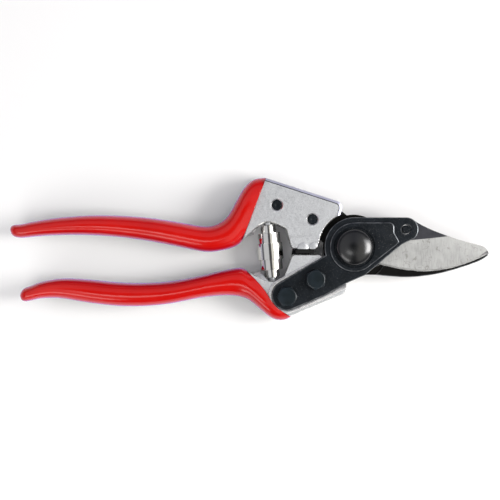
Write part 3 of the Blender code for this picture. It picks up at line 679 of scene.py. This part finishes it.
def upper_head_outline():
    return [
        (-49.9, 2.4), (-44.5, 7.0, 4.0), (-38.6, 12.0, 6.2), (-30.1, 7.9, 1.6),
        (-27.7, -0.8, 1.8), (-17.1, -0.8, 1.4), (-14.9, 1.9),
        *arc(0, 0, HEAD_ARC_R, circle_at(2.4), circle_at(UPPER_ARC_END)),
        UPPER_CORNER, UPPER_SHOULDER,
    ]


def lower_head_outline():
    end = math.degrees(math.atan2(-math.sqrt(HEAD_ARC_R ** 2 - 3.5 ** 2), -3.5)) % 360
    return [
        (-48.6, -9.8), (-36.3, -15.5, 5.0), (-31.0, -12.6, 1.8), (-27.3, -3.1, 1.6),
        (-14.3, -3.1, 1.5),
        *arc(0, 0, HEAD_ARC_R, circle_at(-6.6), end),
        (-3.5, -20.3, 2.6), (-29.0, -30.9), (-40.0, -28.0),
    ]


def plate_outline(grow=0.0):
    return [
        *arc(0, 0, 13.1 + grow, 90, 196),
        *arc(*TAIL, TAIL_R + grow, 119, 294),
        (-12.8 + grow * 0.5, -21.0 - grow), (-4.0 + grow * 0.5, -16.1 - grow),
        (4.8 + grow, -12.2 - grow, 1.0),
        (21.0 + grow * 0.7, 1.4 - grow * 0.8, 8.0),
        *arc(*LOBE, LOBE_R + grow, -48, 90),
    ]


def neck(stations, into_head):
    """The handle's core inside its sleeve, run on into the head."""
    body = stations[4:]
    rows = [section(s, CORE_HALF, WALL + GAP, 3.0) for s in body]
    (tx, ty), (bx, by), share = body[-1]
    dx, dy = into_head
    last = ((tx + dx, ty + dy), (bx + dx, by + dy), share)
    rows.append(section(last, CORE_HALF, WALL + GAP, 3.0, squeeze=0.8))
    return sweep(rows)


def seat_peg(centre, direction):
    """A round peg in the cavity wall that the spring's end sits over."""
    radius, half_length = 2.0, 3.0
    shape = rod(0, 0, radius, -half_length, half_length, 32)
    turn = Vector((0, 0, 1)).rotation_difference(Vector(direction)).to_matrix()
    bmesh.ops.rotate(shape, cent=(0, 0, 0), matrix=turn, verts=shape.verts)
    bmesh.ops.translate(shape, vec=(*centre, MID_Z), verts=shape.verts)
    return shape


def forging(outline, low, high, margin):
    """A flat forging: drafted sides with rounded rims, and a shallow step round each face.

    Insets are scaled by the margin, which a narrow head needs small. Painted shade, a dark line,
    shows only in the stretches of the step that look towards +Y, away from the lamps.
    """
    drop, step = 1.3, 0.3
    shape = slab(outline, low + drop + step, high - drop - step)
    for side in (1, -1):
        for thickness, depth, finish in ((0.85, drop, 1), (0.22, 0.0, 1), (0.18, step, 2)):
            faces = [f for f in shape.faces if f.normal.z * side > 0.9 and len(f.verts) > 4]
            ring = bmesh.ops.inset_region(
                shape, faces=faces, thickness=thickness * margin, depth=depth, use_even_offset=True,
            )
            for face in ring["faces"]:
                # Finish 2 is painted shade, kept to the step's stretches that face +Y
                face.material_index = finish if finish == 1 or face.normal.y > 0.25 else 1
    eased(shape, 0.5, 4, 12, at_level(high - drop - step), finish=1)
    eased(shape, 0.5, 4, 12, at_level(low + drop + step), finish=1)
    return shape


def head_with_neck(outline, margin, stations, bow, into_head, peg, cuts, extra=()):
    """The forging trimmed at its sleeve, joined to its core and peg, then cut."""
    body = forging(outline, HEAD_BACK, HEAD_FRONT, margin)
    body = combined(body, [mouth_cut(stations, bow)], "DIFFERENCE")
    body = combined(body, [neck(stations, into_head), peg, *extra], "UNION")
    return combined(body, cuts, "DIFFERENCE")


def cast_bosses():
    """Two low bosses on the upper head's foot, each cut short by its edge."""
    front = HEAD_FRONT
    out = []
    for x, y, radius in ((-22.5, -0.3, 2.45), (-17.9, 0.3, 2.0)):
        boss = lathe([
            (0, front + 0.25), (radius - 0.45, front + 0.25), (radius - 0.1, front + 0.12),
            (radius, front - 0.1), (radius, front - 1.5), (0, front - 1.5),
        ], x, y, 48)
        out.append(combined(boss, [slab(upper_head_outline(), front - 3, front + PAST)], "INTERSECT"))
    return out


def draft_band():
    """Cutter for the wide drafted band, and the step beside it, along the upper head's outer edge."""
    *corner, radius = UPPER_CORNER
    corner = Vector(corner)
    along_top = (corner - Vector(UPPER_SHOULDER)).normalized()
    last = Vector((-math.sqrt(HEAD_ARC_R ** 2 - UPPER_ARC_END ** 2), UPPER_ARC_END))
    down = (last - corner).normalized()
    reach = radius / math.tan((-along_top).angle(down) / 2)
    centre = corner - along_top * reach + Vector((along_top.y, -along_top.x)) * radius
    first, final = math.atan2(-along_top.y, along_top.x), math.atan2(-down.y, down.x)
    path = [(Vector((-42.0, 31.774)), first)]
    for i in range(9):
        lean = first + (final - first) * i / 8
        path.append((centre + Vector((math.sin(lean), math.cos(lean))) * radius, lean))
    path.append((last + down * 2, final))
    profile = ((-3.0, -1.9), (1.2, -0.62), (1.66, 0.04), (2.6, 1.6), (-3.0, 1.6))
    sections = []
    for place, lean in path:
        inward = Vector((-math.sin(lean), -math.cos(lean), 0))
        sections.append([
            Vector((place.x, place.y, HEAD_FRONT)) + inward * across + Vector((0, 0, rise))
            for across, rise in profile
        ])
    shape = sweep(sections)
    for face in shape.faces:
        # Index 3 is the band's painted bluish reflection, index 2 the step's painted shade
        face.material_index = 3 if face.calc_center_median().z < HEAD_FRONT - 0.7 else 2
    return shape


def buffer_hole():
    """Cutter for the blind hole in the upper head's foot that holds the rubber buffer's stem."""
    stem = rod(0, 0, 1.5, -6, 3.3, 32)
    lying = Matrix.Rotation(math.radians(-90), 3, "X")
    bmesh.ops.rotate(stem, cent=(0, 0, 0), matrix=lying, verts=stem.verts)
    bmesh.ops.translate(stem, vec=(-21.6, -0.8, MID_Z), verts=stem.verts)
    return stem


def upper_handle(finishes):
    """The upper forging, slotted for the tang and bored for rivets, catch screw and buffer."""
    cuts = [bore(*at, 2.32, HEAD_BACK - PAST, HEAD_FRONT, 0.5, 48) for at in RIVETS.values()]
    cuts += [
        draft_band(),
        slab(tang_outline(GAP), COUNTER_BACK - GAP, COUNTER_FRONT + GAP),
        rod(*CATCH, 2.2, HEAD_BACK - PAST, COUNTER_BACK - 3 * GAP),
        rod(*CATCH, 4.2, HEAD_BACK - PAST, HEAD_BACK + 0.8),
        buffer_hole(),
    ]
    shape = head_with_neck(
        upper_head_outline(), 0.55, UPPER_STATIONS, bow=0.0, into_head=(3.6, -1.4),
        peg=seat_peg((-37.85, 11.0), (0.087, -0.996, 0)), cuts=cuts, extra=cast_bosses(),
    )
    return finished(
        "upper_handle_forging", shape, "upper_half", finishes, ["upper_handle"],
    )


def tail_rim():
    """The raised bead that borders the plate's pocket, kept to the lower head's own outline."""
    top = HEAD_FRONT + 0.5
    bead = slab(plate_outline(RIM_GROW), HEAD_FRONT - 1.0, top)
    bead = combined(bead, [slab(plate_outline(GAP), HEAD_FRONT - 3, top + PAST)], "DIFFERENCE")
    eased(bead, 0.5, 4, 30, at_level(top), finish=1)
    for face in bead.faces:
        face.material_index = 1
    edge = [p[:2] for p in lower_head_outline()]
    inside = [(-48.6, -9.8), (-36.3, -15.7), (-31.0, -13.0), (-27.3, -3.5), *edge[4:]]
    return combined(bead, [slab(inside, HEAD_FRONT - 4, top + PAST)], "INTERSECT")


def lower_handle(finishes):
    """The lower forging, with the plate's pocket and bead, bolt holes, nut pockets and the stud's hole."""
    def pocket():
        return slab(plate_outline(GAP), PLATE_BACK - GAP, HEAD_FRONT + 4)

    rim = combined(tail_rim(), [pocket(), mouth_cut(LOWER_STATIONS, LOWER_BOW)], "DIFFERENCE")
    cuts = [pocket()]
    for x, y, turn in BOLTS.values():
        cuts.append(rod(x, y, BOLT_HOLE, HEAD_BACK - PAST, HEAD_FRONT + PAST))
        cuts.append(rod(x, y, NUT_POCKET, HEAD_BACK - PAST, HEAD_BACK + 3.8, 6, turn))
    cuts.append(rod(*STUD, 2.1, HEAD_BACK - PAST, MID_Z + GAP))
    shape = head_with_neck(
        lower_head_outline(), 0.42, LOWER_STATIONS, bow=LOWER_BOW, into_head=(2.6, 2.6),
        peg=seat_peg((-35.85, -15.0), (-0.087, 0.996, 0)), cuts=cuts, extra=[rim],
    )
    return finished(
        "lower_handle_forging", shape, "lower_half", finishes, ["lower_handle"],
    )


# ---------------------------------------------------------- blades and plate

def tang_outline(grow=0.0):
    return [
        (-2.5, 14.2 + grow), (-5.1, 15.9 + grow, 2.0), (-12.0, 18.6 + grow, 8.0),
        (-32.6, 23.4 + grow, 4.0), (-38.4 - grow, 19.6, 3.6), (-36.2, 14.6 - grow, 3.0),
        (-20.5, 8.2 - grow, 6.0), (-15.6, 4.7 - grow), (-12.0, 3.6), (-4.0, 12.0),
    ]


JAW_TOP = [(16.8, -1.2), (22.0, -5.4), (30.0, -7.6), (40.0, -7.0), (48.0, -5.6), (55.0, -3.8), (59.8, -2.6)]
JAW_LOW = [
    (59.3, -3.7), (55.4, -6.1), (46.6, -9.2), (37.8, -11.6), (29.0, -12.9), (21.0, -13.2), (9.2, -12.2),
]
TAPER_START = 12.0
TAPER_LENGTH = 48.0
TIP_THINNING = 0.6


def counter_blade(finishes):
    """Boss, tang and hooked jaw in one plate, with the washer's seat sunk in it."""
    jaw_top = flowing(JAW_TOP, 4)
    jaw_low = flowing(JAW_LOW, 4)
    outline = [
        *reversed(jaw_top),
        *arc(0, 0, 14.4, 14.5, 102),
        (-5.1, 15.9), (-12.0, 18.6, 6.0), (-32.6, 23.4, 4.0), (-38.4, 19.6, 3.6),
        (-36.2, 14.6, 3.0), (-20.5, 8.2, 6.0), (-15.6, 4.7),
        (-13.9, 2.4), *arc(0, 0, 13.5, 171, 200), *arc(0, 0, 14.4, 203, 238.1),
        *reversed(jaw_low),
    ]
    shape = slab(outline, COUNTER_BACK, COUNTER_FRONT)
    # The front edges and the seat's slope take the lighter edge finish: wear and a painted highlight
    eased(shape, 0.35, 3, 30, at_level(COUNTER_FRONT), finish=1)
    eased(shape, 0.3, 2, 30, at_level(COUNTER_BACK))
    seat = sloped_in_second_finish(lathe([
        (0, COUNTER_FRONT + 1), (16.9, COUNTER_FRONT + 1), (15.4, COUNTER_FRONT - 0.5),
        (15.4, COUNTER_FRONT - 0.8), (0, COUNTER_FRONT - 0.8),
    ], steps=160))
    cuts = [seat, rod(0, 0, BUSH_HOLE, COUNTER_BACK - PAST, COUNTER_FRONT + PAST)]
    for at in RIVETS.values():
        cuts.append(rod(*at, RIVET_HOLE, COUNTER_BACK - PAST, COUNTER_FRONT + PAST, 32))
    cuts.append(rod(-2.6, 11.4, 2.2, COUNTER_BACK - PAST, COUNTER_FRONT - 1.8, 32))
    shape = combined(shape, cuts, "DIFFERENCE")
    taper(shape)
    return finished(
        "counter_blade_hook", shape, "upper_half", finishes, ["counter_blade"],
    )


def taper(shape):
    """Thins the jaw from its back towards the tip."""
    for vert in shape.verts:
        along_jaw = min(1.0, max(0.0, (vert.co.x - TAPER_START) / TAPER_LENGTH))
        vert.co.z = COUNTER_FRONT - (COUNTER_FRONT - vert.co.z) * (1 - TIP_THINNING * along_jaw)


BLADE_EDGE = [
    (11.8, -7.7), (20.2, -9.6), (29.0, -10.7), (37.8, -10.2), (46.6, -8.3), (55.4, -4.9), (59.5, -2.7),
]
BLADE_SPINE = [
    (25.4, 12.4), (30.5, 9.4), (37.8, 6.2), (46.6, 3.2), (53.0, 1.5), (57.1, 0.3),
    (58.6, -1.0), (59.5, -2.3),
]
BLADE_BOSS_R = 12.4
GRIND_LINE = [(5.0, 2.2), (18.0, 3.2), (26.5, 3.6), (33.0, 3.9), (38.0, 4.4), (43.0, 5.1), (62.0, 8.0)]
GRIND_START = 9.0
GRIND_DROP = 1.3
HONE_WIDTH = 0.75
HONE_DROP = 0.9


def cutting_blade(finishes):
    """Flat back, coated spine, a ground bevel and a honed edge."""
    edge, spine = flowing(BLADE_EDGE, 3), flowing(BLADE_SPINE, 3)
    outline = [*edge, *reversed(spine), *arc(0, 0, BLADE_BOSS_R, 90, 312)]
    shape = slab(outline, BLADE_BACK, BLADE_FRONT)
    grind(shape, hone_line(edge))
    cuts = [
        rod(0, 0, BUSH_HOLE, BLADE_BACK - PAST, BLADE_FRONT + PAST),
        rod(*LOBE, PIN_HOLE, BLADE_BACK - PAST, BLADE_FRONT + PAST, 40),
    ]
    shape = combined(shape, cuts, "DIFFERENCE")
    return finished(
        "cutting_blade_steel", shape, "lower_half", finishes, ["cutting_blade"], smooth=12,
    )


def hone_line(edge):
    """Where the honed bevel ends, a hone's width in from the edge, by every third point."""
    line = []
    for a, b in zip(edge, edge[1:]):
        across = Vector((a[1] - b[1], b[0] - a[0])).normalized() * HONE_WIDTH
        line.append((a[0] + across.x, a[1] + across.y))
    line.append((edge[-1][0] - 1.2, edge[-1][1] + 0.9))
    return line[::3]


def front_faces(shape):
    return [f for f in shape.faces if f.normal.z > 0.99 and f.calc_center_median().z > BLADE_FRONT - 0.01]


def grind(shape, hone):
    """Splits the front face along the grind and hone lines, and slopes it down to the edge."""
    for line in (GRIND_LINE, hone):
        for a, b in zip(line, line[1:]):
            run = (Vector(b) - Vector(a)).normalized()
            front = front_faces(shape)
            edges = {e for f in front for e in f.edges}
            verts = {v for f in front for v in f.verts}
            bmesh.ops.bisect_plane(
                shape, geom=[*verts, *edges, *front], dist=0.0001,
                plane_co=(*a, 0), plane_no=(-run.y, run.x, 0),
            )
    top = front_faces(shape)
    for face in top:
        middle = face.calc_center_median()
        if middle.y > height_of(GRIND_LINE, middle.x):
            face.material_index = 1
        elif middle.y < height_of(hone, middle.x):
            face.material_index = 2
    for vert in {v for f in top for v in f.verts}:
        here = vert.co
        above = height_of(GRIND_LINE, here.x) - here.y
        over = here.y - height_of(hone, here.x)
        if here.x < GRIND_START or above < 0:
            continue
        if over > 0:
            here.z -= GRIND_DROP * above / (above + over)
        else:
            here.z -= GRIND_DROP + HONE_DROP * min(1.0, -over / HONE_WIDTH)


def height_of(line, x):
    """How high a left-to-right line stands at x."""
    for a, b in zip(line, line[1:]):
        if x <= b[0]:
            return a[1] + (b[1] - a[1]) * (x - a[0]) / (b[0] - a[0])
    return line[-1][1]


def blade_plate(finishes):
    """The carrier plate, with the raised panel round its pivot."""
    plate = slab(plate_outline(), PLATE_BACK, PLATE_FRONT)
    # The front edges and the pin hole's mouth take the lighter edge finish: wear and a painted highlight
    eased(plate, 0.35, 3, 30, at_level(PLATE_FRONT), finish=1)
    eased(plate, 0.2, 1, 30, at_level(PLATE_BACK))
    panel = slab([
        *arc(0, 0, 10.8, 96, 300), (18.4, 0.9, 1.6), (19.8, 2.4, 0.9), (17.5, 6.3, 1.6),
        (17.5, 10.9, 2.2), (1.0, 10.9),
    ], PLATE_FRONT - 1.0, PANEL_FRONT)
    eased(panel, 0.4, 3, 30, at_level(PANEL_FRONT), finish=1)
    shape = combined(plate, [panel], "UNION")
    well = lathe([
        (0, PANEL_FRONT + 1), (10.0, PANEL_FRONT + 1), (8.7, PANEL_FRONT - 0.3),
        (8.7, PANEL_FRONT - 0.4), (0, PANEL_FRONT - 0.4),
    ])
    cuts = [well, rod(0, 0, BUSH_HOLE, PLATE_BACK - PAST, PANEL_FRONT + PAST)]
    cuts.append(bore(*LOBE, PIN_HOLE, PLATE_BACK - PAST, PLATE_FRONT, 0.4, 48))
    cuts += [rod(x, y, BOLT_HOLE, PLATE_BACK - PAST, PANEL_FRONT + PAST, 32) for x, y, _ in BOLTS.values()]
    shape = combined(shape, cuts, "DIFFERENCE")
    return finished("carrier_plate", shape, "lower_half", finishes, ["blade_plate"])


# ------------------------------------------------------------------ fasteners

def dome_bolt(finish):
    """The pivot bolt: a domed head on a short rim, a shank and a thinner plain end."""
    back = PANEL_FRONT + GAP
    low, high = levels("pivot_bolt")
    radius, rim = 8.0, back + 0.7
    curve = []
    for degrees in range(0, 91, 5):
        angle = math.radians(degrees)
        curve.append((radius * math.sin(angle), rim + (high - rim) * math.cos(angle)))
    shape = lathe([
        *curve, (7.95, back + 0.25), (7.7, back), (4.6, back), (4.6, COUNTER_BACK),
        (4.0, COUNTER_BACK - GAP), (4.0, low), (0, low),
    ])
    return finished("pivot_bolt_dome", shape, "upper_half", [finish], ["pivot_bolt"])


def hexagon_bolts(finishes):
    """Six-sided heads, turned round at their crowns, on plain shanks."""
    seat = PLATE_FRONT + GAP
    for label, (x, y, turn) in BOLTS.items():
        node = "plate_bolt_" + label
        low, high = levels(node)
        head = rod(x, y, 4.62, seat, high, 6, turn)
        crown = lathe([
            (0, high), (3.7, high - 0.02), (4.1, high - 0.18), (4.7, high - 0.65), (5.4, high - 1.3),
            (5.4, seat - 1), (0, seat - 1),
        ], x, y)
        shape = combined(head, [crown], "INTERSECT")
        shape = combined(shape, [rod(x, y, 2.5, low, seat + 0.8, 40)], "UNION")
        # The crown edges take the lighter edge finish: wear and a painted highlight
        eased(shape, 0.14, 2, 20, lambda middle, edge: middle.z > seat + 0.1, finish=1)
        finished("hexagon_bolt_" + label, shape, "lower_half", finishes, [node])


def rivets(finishes):
    """Rivets of the counter blade's tang, with a dimple in each head."""
    for label, (x, y) in RIVETS.items():
        node = "counter_blade_rivet_" + label
        low, high = levels(node)
        shape = lathe([
            (0, high - 0.22), (0.5, high - 0.20), (0.7, high - 0.05), (1.2, high), (1.9, high - 0.05),
            (2.2, high - 0.35), (2.2, low + 0.35), (1.9, low), (0, low),
        ], x, y, 48)
        finished("rivet_" + label, shape, "upper_half", finishes, [node])


def blade_pin(finishes):
    """The pin in the plate's lobe, set a little below the CAD pin's end."""
    low, high = levels("blade_pin")
    high -= 0.25
    profile = [(0, high - 0.12), (0.9, high), (1.5, high - 0.02), (1.85, high - 0.3), (1.85, low), (0, low)]
    shape = lathe(profile, *LOBE, 48)
    finished("lobe_pin", shape, "lower_half", finishes, ["blade_pin"])


def softened(node, body, finishes, width, segments=2):
    """A CAD piece taken as it is, welded, with its sharp edges eased."""
    shape = bmesh.new()
    shape.from_mesh(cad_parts[node].data)
    bmesh.ops.scale(shape, vec=(1 / MM, 1 / MM, 1 / MM), verts=shape.verts)
    bmesh.ops.remove_doubles(shape, verts=shape.verts, dist=0.003)
    bmesh.ops.dissolve_limit(shape, angle_limit=math.radians(0.6), verts=shape.verts, edges=shape.edges)
    eased(shape, width, segments, 32)
    for face in shape.faces:
        face.material_index = 0
    return finished(node + "_piece", shape, body, finishes, [node])


# -------------------------------------------------------------------- spring

SPRING_TOP = Vector((-37.9, 10.2))
SPRING_BOTTOM = Vector((-35.9, -13.9))
STRIP_TURNS = 2.25
STRIP_HALF = 0.28
STEPS_A_TURN = 48

# How the wound strip runs from the spring's middle, as pairs of turns and millimetres
STRIP_RADIUS = [(0, 5.42), (0.38, 5.42), (0.62, 4.72), (1.3, 4.72), (1.6, 3.15), (2.25, 3.05)]
STRIP_OUTER = [(0, 3.6), (0.3, 3.75), (0.75, 8.0), (1.3, 8.3), (1.5, 8.8), (1.85, 11.4), (2.25, 11.9)]
STRIP_INNER = [
    (0, -3.6), (0.2, -3.65), (0.38, -1.6), (0.62, 1.9), (0.8, 3.2), (1.3, 3.6), (1.75, 7.4), (2.25, 8.0),
]


def along(track, turn):
    """Where a track of (turns, value) stands after some turns."""
    for (a, low), (b, high) in zip(track, track[1:]):
        if turn <= b:
            return low + (high - low) * (turn - a) / (b - a)
    return track[-1][1]


def volute_spring(finish):
    """One strip wound to a double cone; its ends sit at the two handles' spring seats."""
    middle = (SPRING_TOP + SPRING_BOTTOM) / 2
    axis = SPRING_TOP - SPRING_BOTTOM
    lean = Matrix.Rotation(math.atan2(axis.y, axis.x), 4, "Z") @ Matrix.Rotation(math.radians(90), 4, "Y")
    half_turn = Matrix.Rotation(math.radians(180), 4, "Z")
    place = Matrix.Translation((middle.x, middle.y, MID_Z)) @ lean @ half_turn
    count = round(STRIP_TURNS * STEPS_A_TURN)
    soft = 0.12
    sections = []
    for i in range(-count, count + 1):
        at = abs(i) / STEPS_A_TURN
        radius = along(STRIP_RADIUS, at)
        far, near = along(STRIP_OUTER, at), along(STRIP_INNER, at)
        low, high = (near, far) if i >= 0 else (-far, -near)
        angle = 2 * math.pi * i / STEPS_A_TURN
        inner, outer = radius - STRIP_HALF, radius + STRIP_HALF
        corners = [
            (inner, low + soft), (outer - soft, low), (outer, low + soft), (outer, high - soft),
            (outer - soft, high), (inner, high - soft),
        ]
        sections.append([place @ Vector((r * math.cos(angle), r * math.sin(angle), z)) for r, z in corners])
    item = smooth_object("wound_spring", sweep(sections), [finish], 20)
    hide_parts("volute_spring")
    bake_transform(item)
    return item


# -------------------------------------------------------- floor, light, view

def floor():
    """A pale table just below the lowest point, drawn in metres."""
    shape = bmesh.new()
    bmesh.ops.create_grid(shape, x_segments=1, y_segments=1, size=2.5)
    bmesh.ops.translate(shape, vec=(0, 0, CAD_BOX[0].z - 0.0002), verts=shape.verts)
    made = Finish("white_table", (0.93, 0.93, 0.93), 0.85, Specular_IOR_Level=0.1)
    as_object("floor", shape, [made.material])


def area_light(name, place, size, watts, colour, aim=(-0.045, 0, 0)):
    data = bpy.data.lights.new(name, "AREA")
    data.shape = "RECTANGLE"
    data.size, data.size_y = size
    data.energy = watts
    data.color = colour
    item = bpy.data.objects.new(name, data)
    item.location = place
    item.rotation_euler = (Vector(aim) - Vector(place)).to_track_quat("-Z", "Y").to_euler()
    bpy.context.scene.collection.objects.link(item)
    return item


def studio():
    """A pale tent and four lamps.

    The tent is dark round the lens and in a band above the horizon. Round about, it has a dark
    slot towards -Y, is brightest towards +X, and dims towards +Y.
    """
    world = bpy.data.worlds.new("tent")
    bpy.context.scene.world = world
    world.use_nodes = True
    tree = world.node_tree
    background = tree.nodes["Background"]
    direction = tree.nodes.new("ShaderNodeTexCoord").outputs["Generated"]
    split = tree.nodes.new("ShaderNodeSeparateXYZ")
    round_about = tree.nodes.new("ShaderNodeTexGradient")
    round_about.gradient_type = "RADIAL"
    tree.links.new(direction, split.inputs[0])
    tree.links.new(direction, round_about.inputs["Vector"])

    height = colour_ramp(tree, split.outputs["Z"], [
        (0.0, (0.72, 0.72, 0.80)), (0.20, (0.76, 0.76, 0.84)), (0.30, (0.16, 0.16, 0.18)),
        (0.46, (0.22, 0.22, 0.24)), (0.58, 1.0), (0.97, 1.0), (0.988, (0.10, 0.10, 0.11)),
    ])
    side = colour_ramp(tree, round_about.outputs["Fac"], [
        (0.0, (0.82, 0.82, 0.86)), (0.20, (0.95, 0.94, 0.93)), (0.23, (0.10, 0.10, 0.11)),
        (0.275, (0.10, 0.10, 0.11)), (0.31, (1.0, 0.98, 0.95)), (0.50, (1.20, 1.16, 1.08)),
        (0.66, (0.74, 0.74, 0.78)), (0.75, (0.48, 0.48, 0.56)), (0.86, (0.76, 0.76, 0.80)),
        (1.0, (0.82, 0.82, 0.86)),
    ])
    both = tree.nodes.new("ShaderNodeMix")
    both.data_type = "RGBA"
    both.blend_type = "MULTIPLY"
    both.inputs[0].default_value = 1.0
    tree.links.new(height, both.inputs[6])
    tree.links.new(side, both.inputs[7])
    tree.links.new(both.outputs[2], background.inputs["Color"])
    background.inputs["Strength"].default_value = 0.96

    area_light("key_right", (0.56, -0.02, 0.42), (0.34, 0.34), 4.4, (1.0, 0.985, 0.96))
    card = area_light("bright_card", (0.50, 0.03, 0.34), (0.46, 0.50), 4.2, (0.98, 0.99, 1.0))
    card.visible_diffuse = False
    area_light("strip_below", (-0.125, -0.16, 0.60), (0.18, 0.10), 0.18, (1.0, 1.0, 1.0), (-0.125, 0, 0))
    area_light("fill_below", (-0.42, -0.52, 0.40), (0.50, 0.30), 1.5, (1.0, 0.99, 0.97), (-0.10, 0, 0))


def camera():
    """Straight above, through a long lens: the frame is 220 mm wide at the heads' front."""
    data = bpy.data.cameras.new("view")
    data.lens = 120
    data.sensor_width = 36
    width = 0.220
    middle = (-0.04585, -0.00123)
    item = bpy.data.objects.new("view", data)
    item.location = (*middle, HEAD_FRONT * MM + width * data.lens / data.sensor_width)
    bpy.context.scene.collection.objects.link(item)
    bpy.context.scene.camera = item


# ------------------------------------------------------------------ assembly

def main():
    vinyl, aluminium, bright = red_vinyl(), forged_aluminium(), polished_edge()
    # The edge finish is lighter oxide: real wear and a painted highlight
    black, worn_and_highlit, steel = blackened_steel(), worn_edge_and_painted_highlight(), turned_steel()
    grip("upper_grip", UPPER_STATIONS, "upper_half", vinyl).name = "upper_sleeve"
    grip("lower_grip", LOWER_STATIONS, "lower_half", vinyl, LOWER_BOW).name = "lower_sleeve"
    # The third finish paints shade into the forgings' steps; the fourth paints a bluish reflection on the
    # upper head's drafted band
    forged = [aluminium, bright, painted_shade_step(), drafted_band_painted_reflection()]
    upper_handle(forged)
    lower_handle(forged)
    counter_blade([counter_black(), worn_and_highlit])
    cutting_blade([ground_steel(), coated_spine(), honed_edge()])
    blade_plate([black, worn_and_highlit])
    dome_bolt(black_enamel())
    hexagon_bolts([hexagon_black(), worn_and_highlit])
    rivets([black])
    blade_pin([black])
    volute_spring(spring_chrome())
    softened("rubber_buffer", "upper_half", [black_rubber()], 0.2, 3)
    bronze = oiled_bronze()
    softened("pivot_bush", "upper_half", [bronze], 0.1)
    softened("blade_washer", "upper_half", [bronze], 0.08)
    for node in ("pivot_nut", "nut_lock_segment", "lock_segment_screw", "catch_screw", "catch_wave_washer"):
        softened(node, "upper_half", [steel], 0.12)
    softened("catch_stud", "lower_half", [steel], 0.1)
    softened("catch_lever", "catch", [black], 0.3, 3)
    for label in BOLTS:
        softened("plate_nut_" + label, "lower_half", [black], 0.2)
    floor()
    studio()
    camera()
    bpy.context.scene.view_settings.view_transform = "Standard"


main()
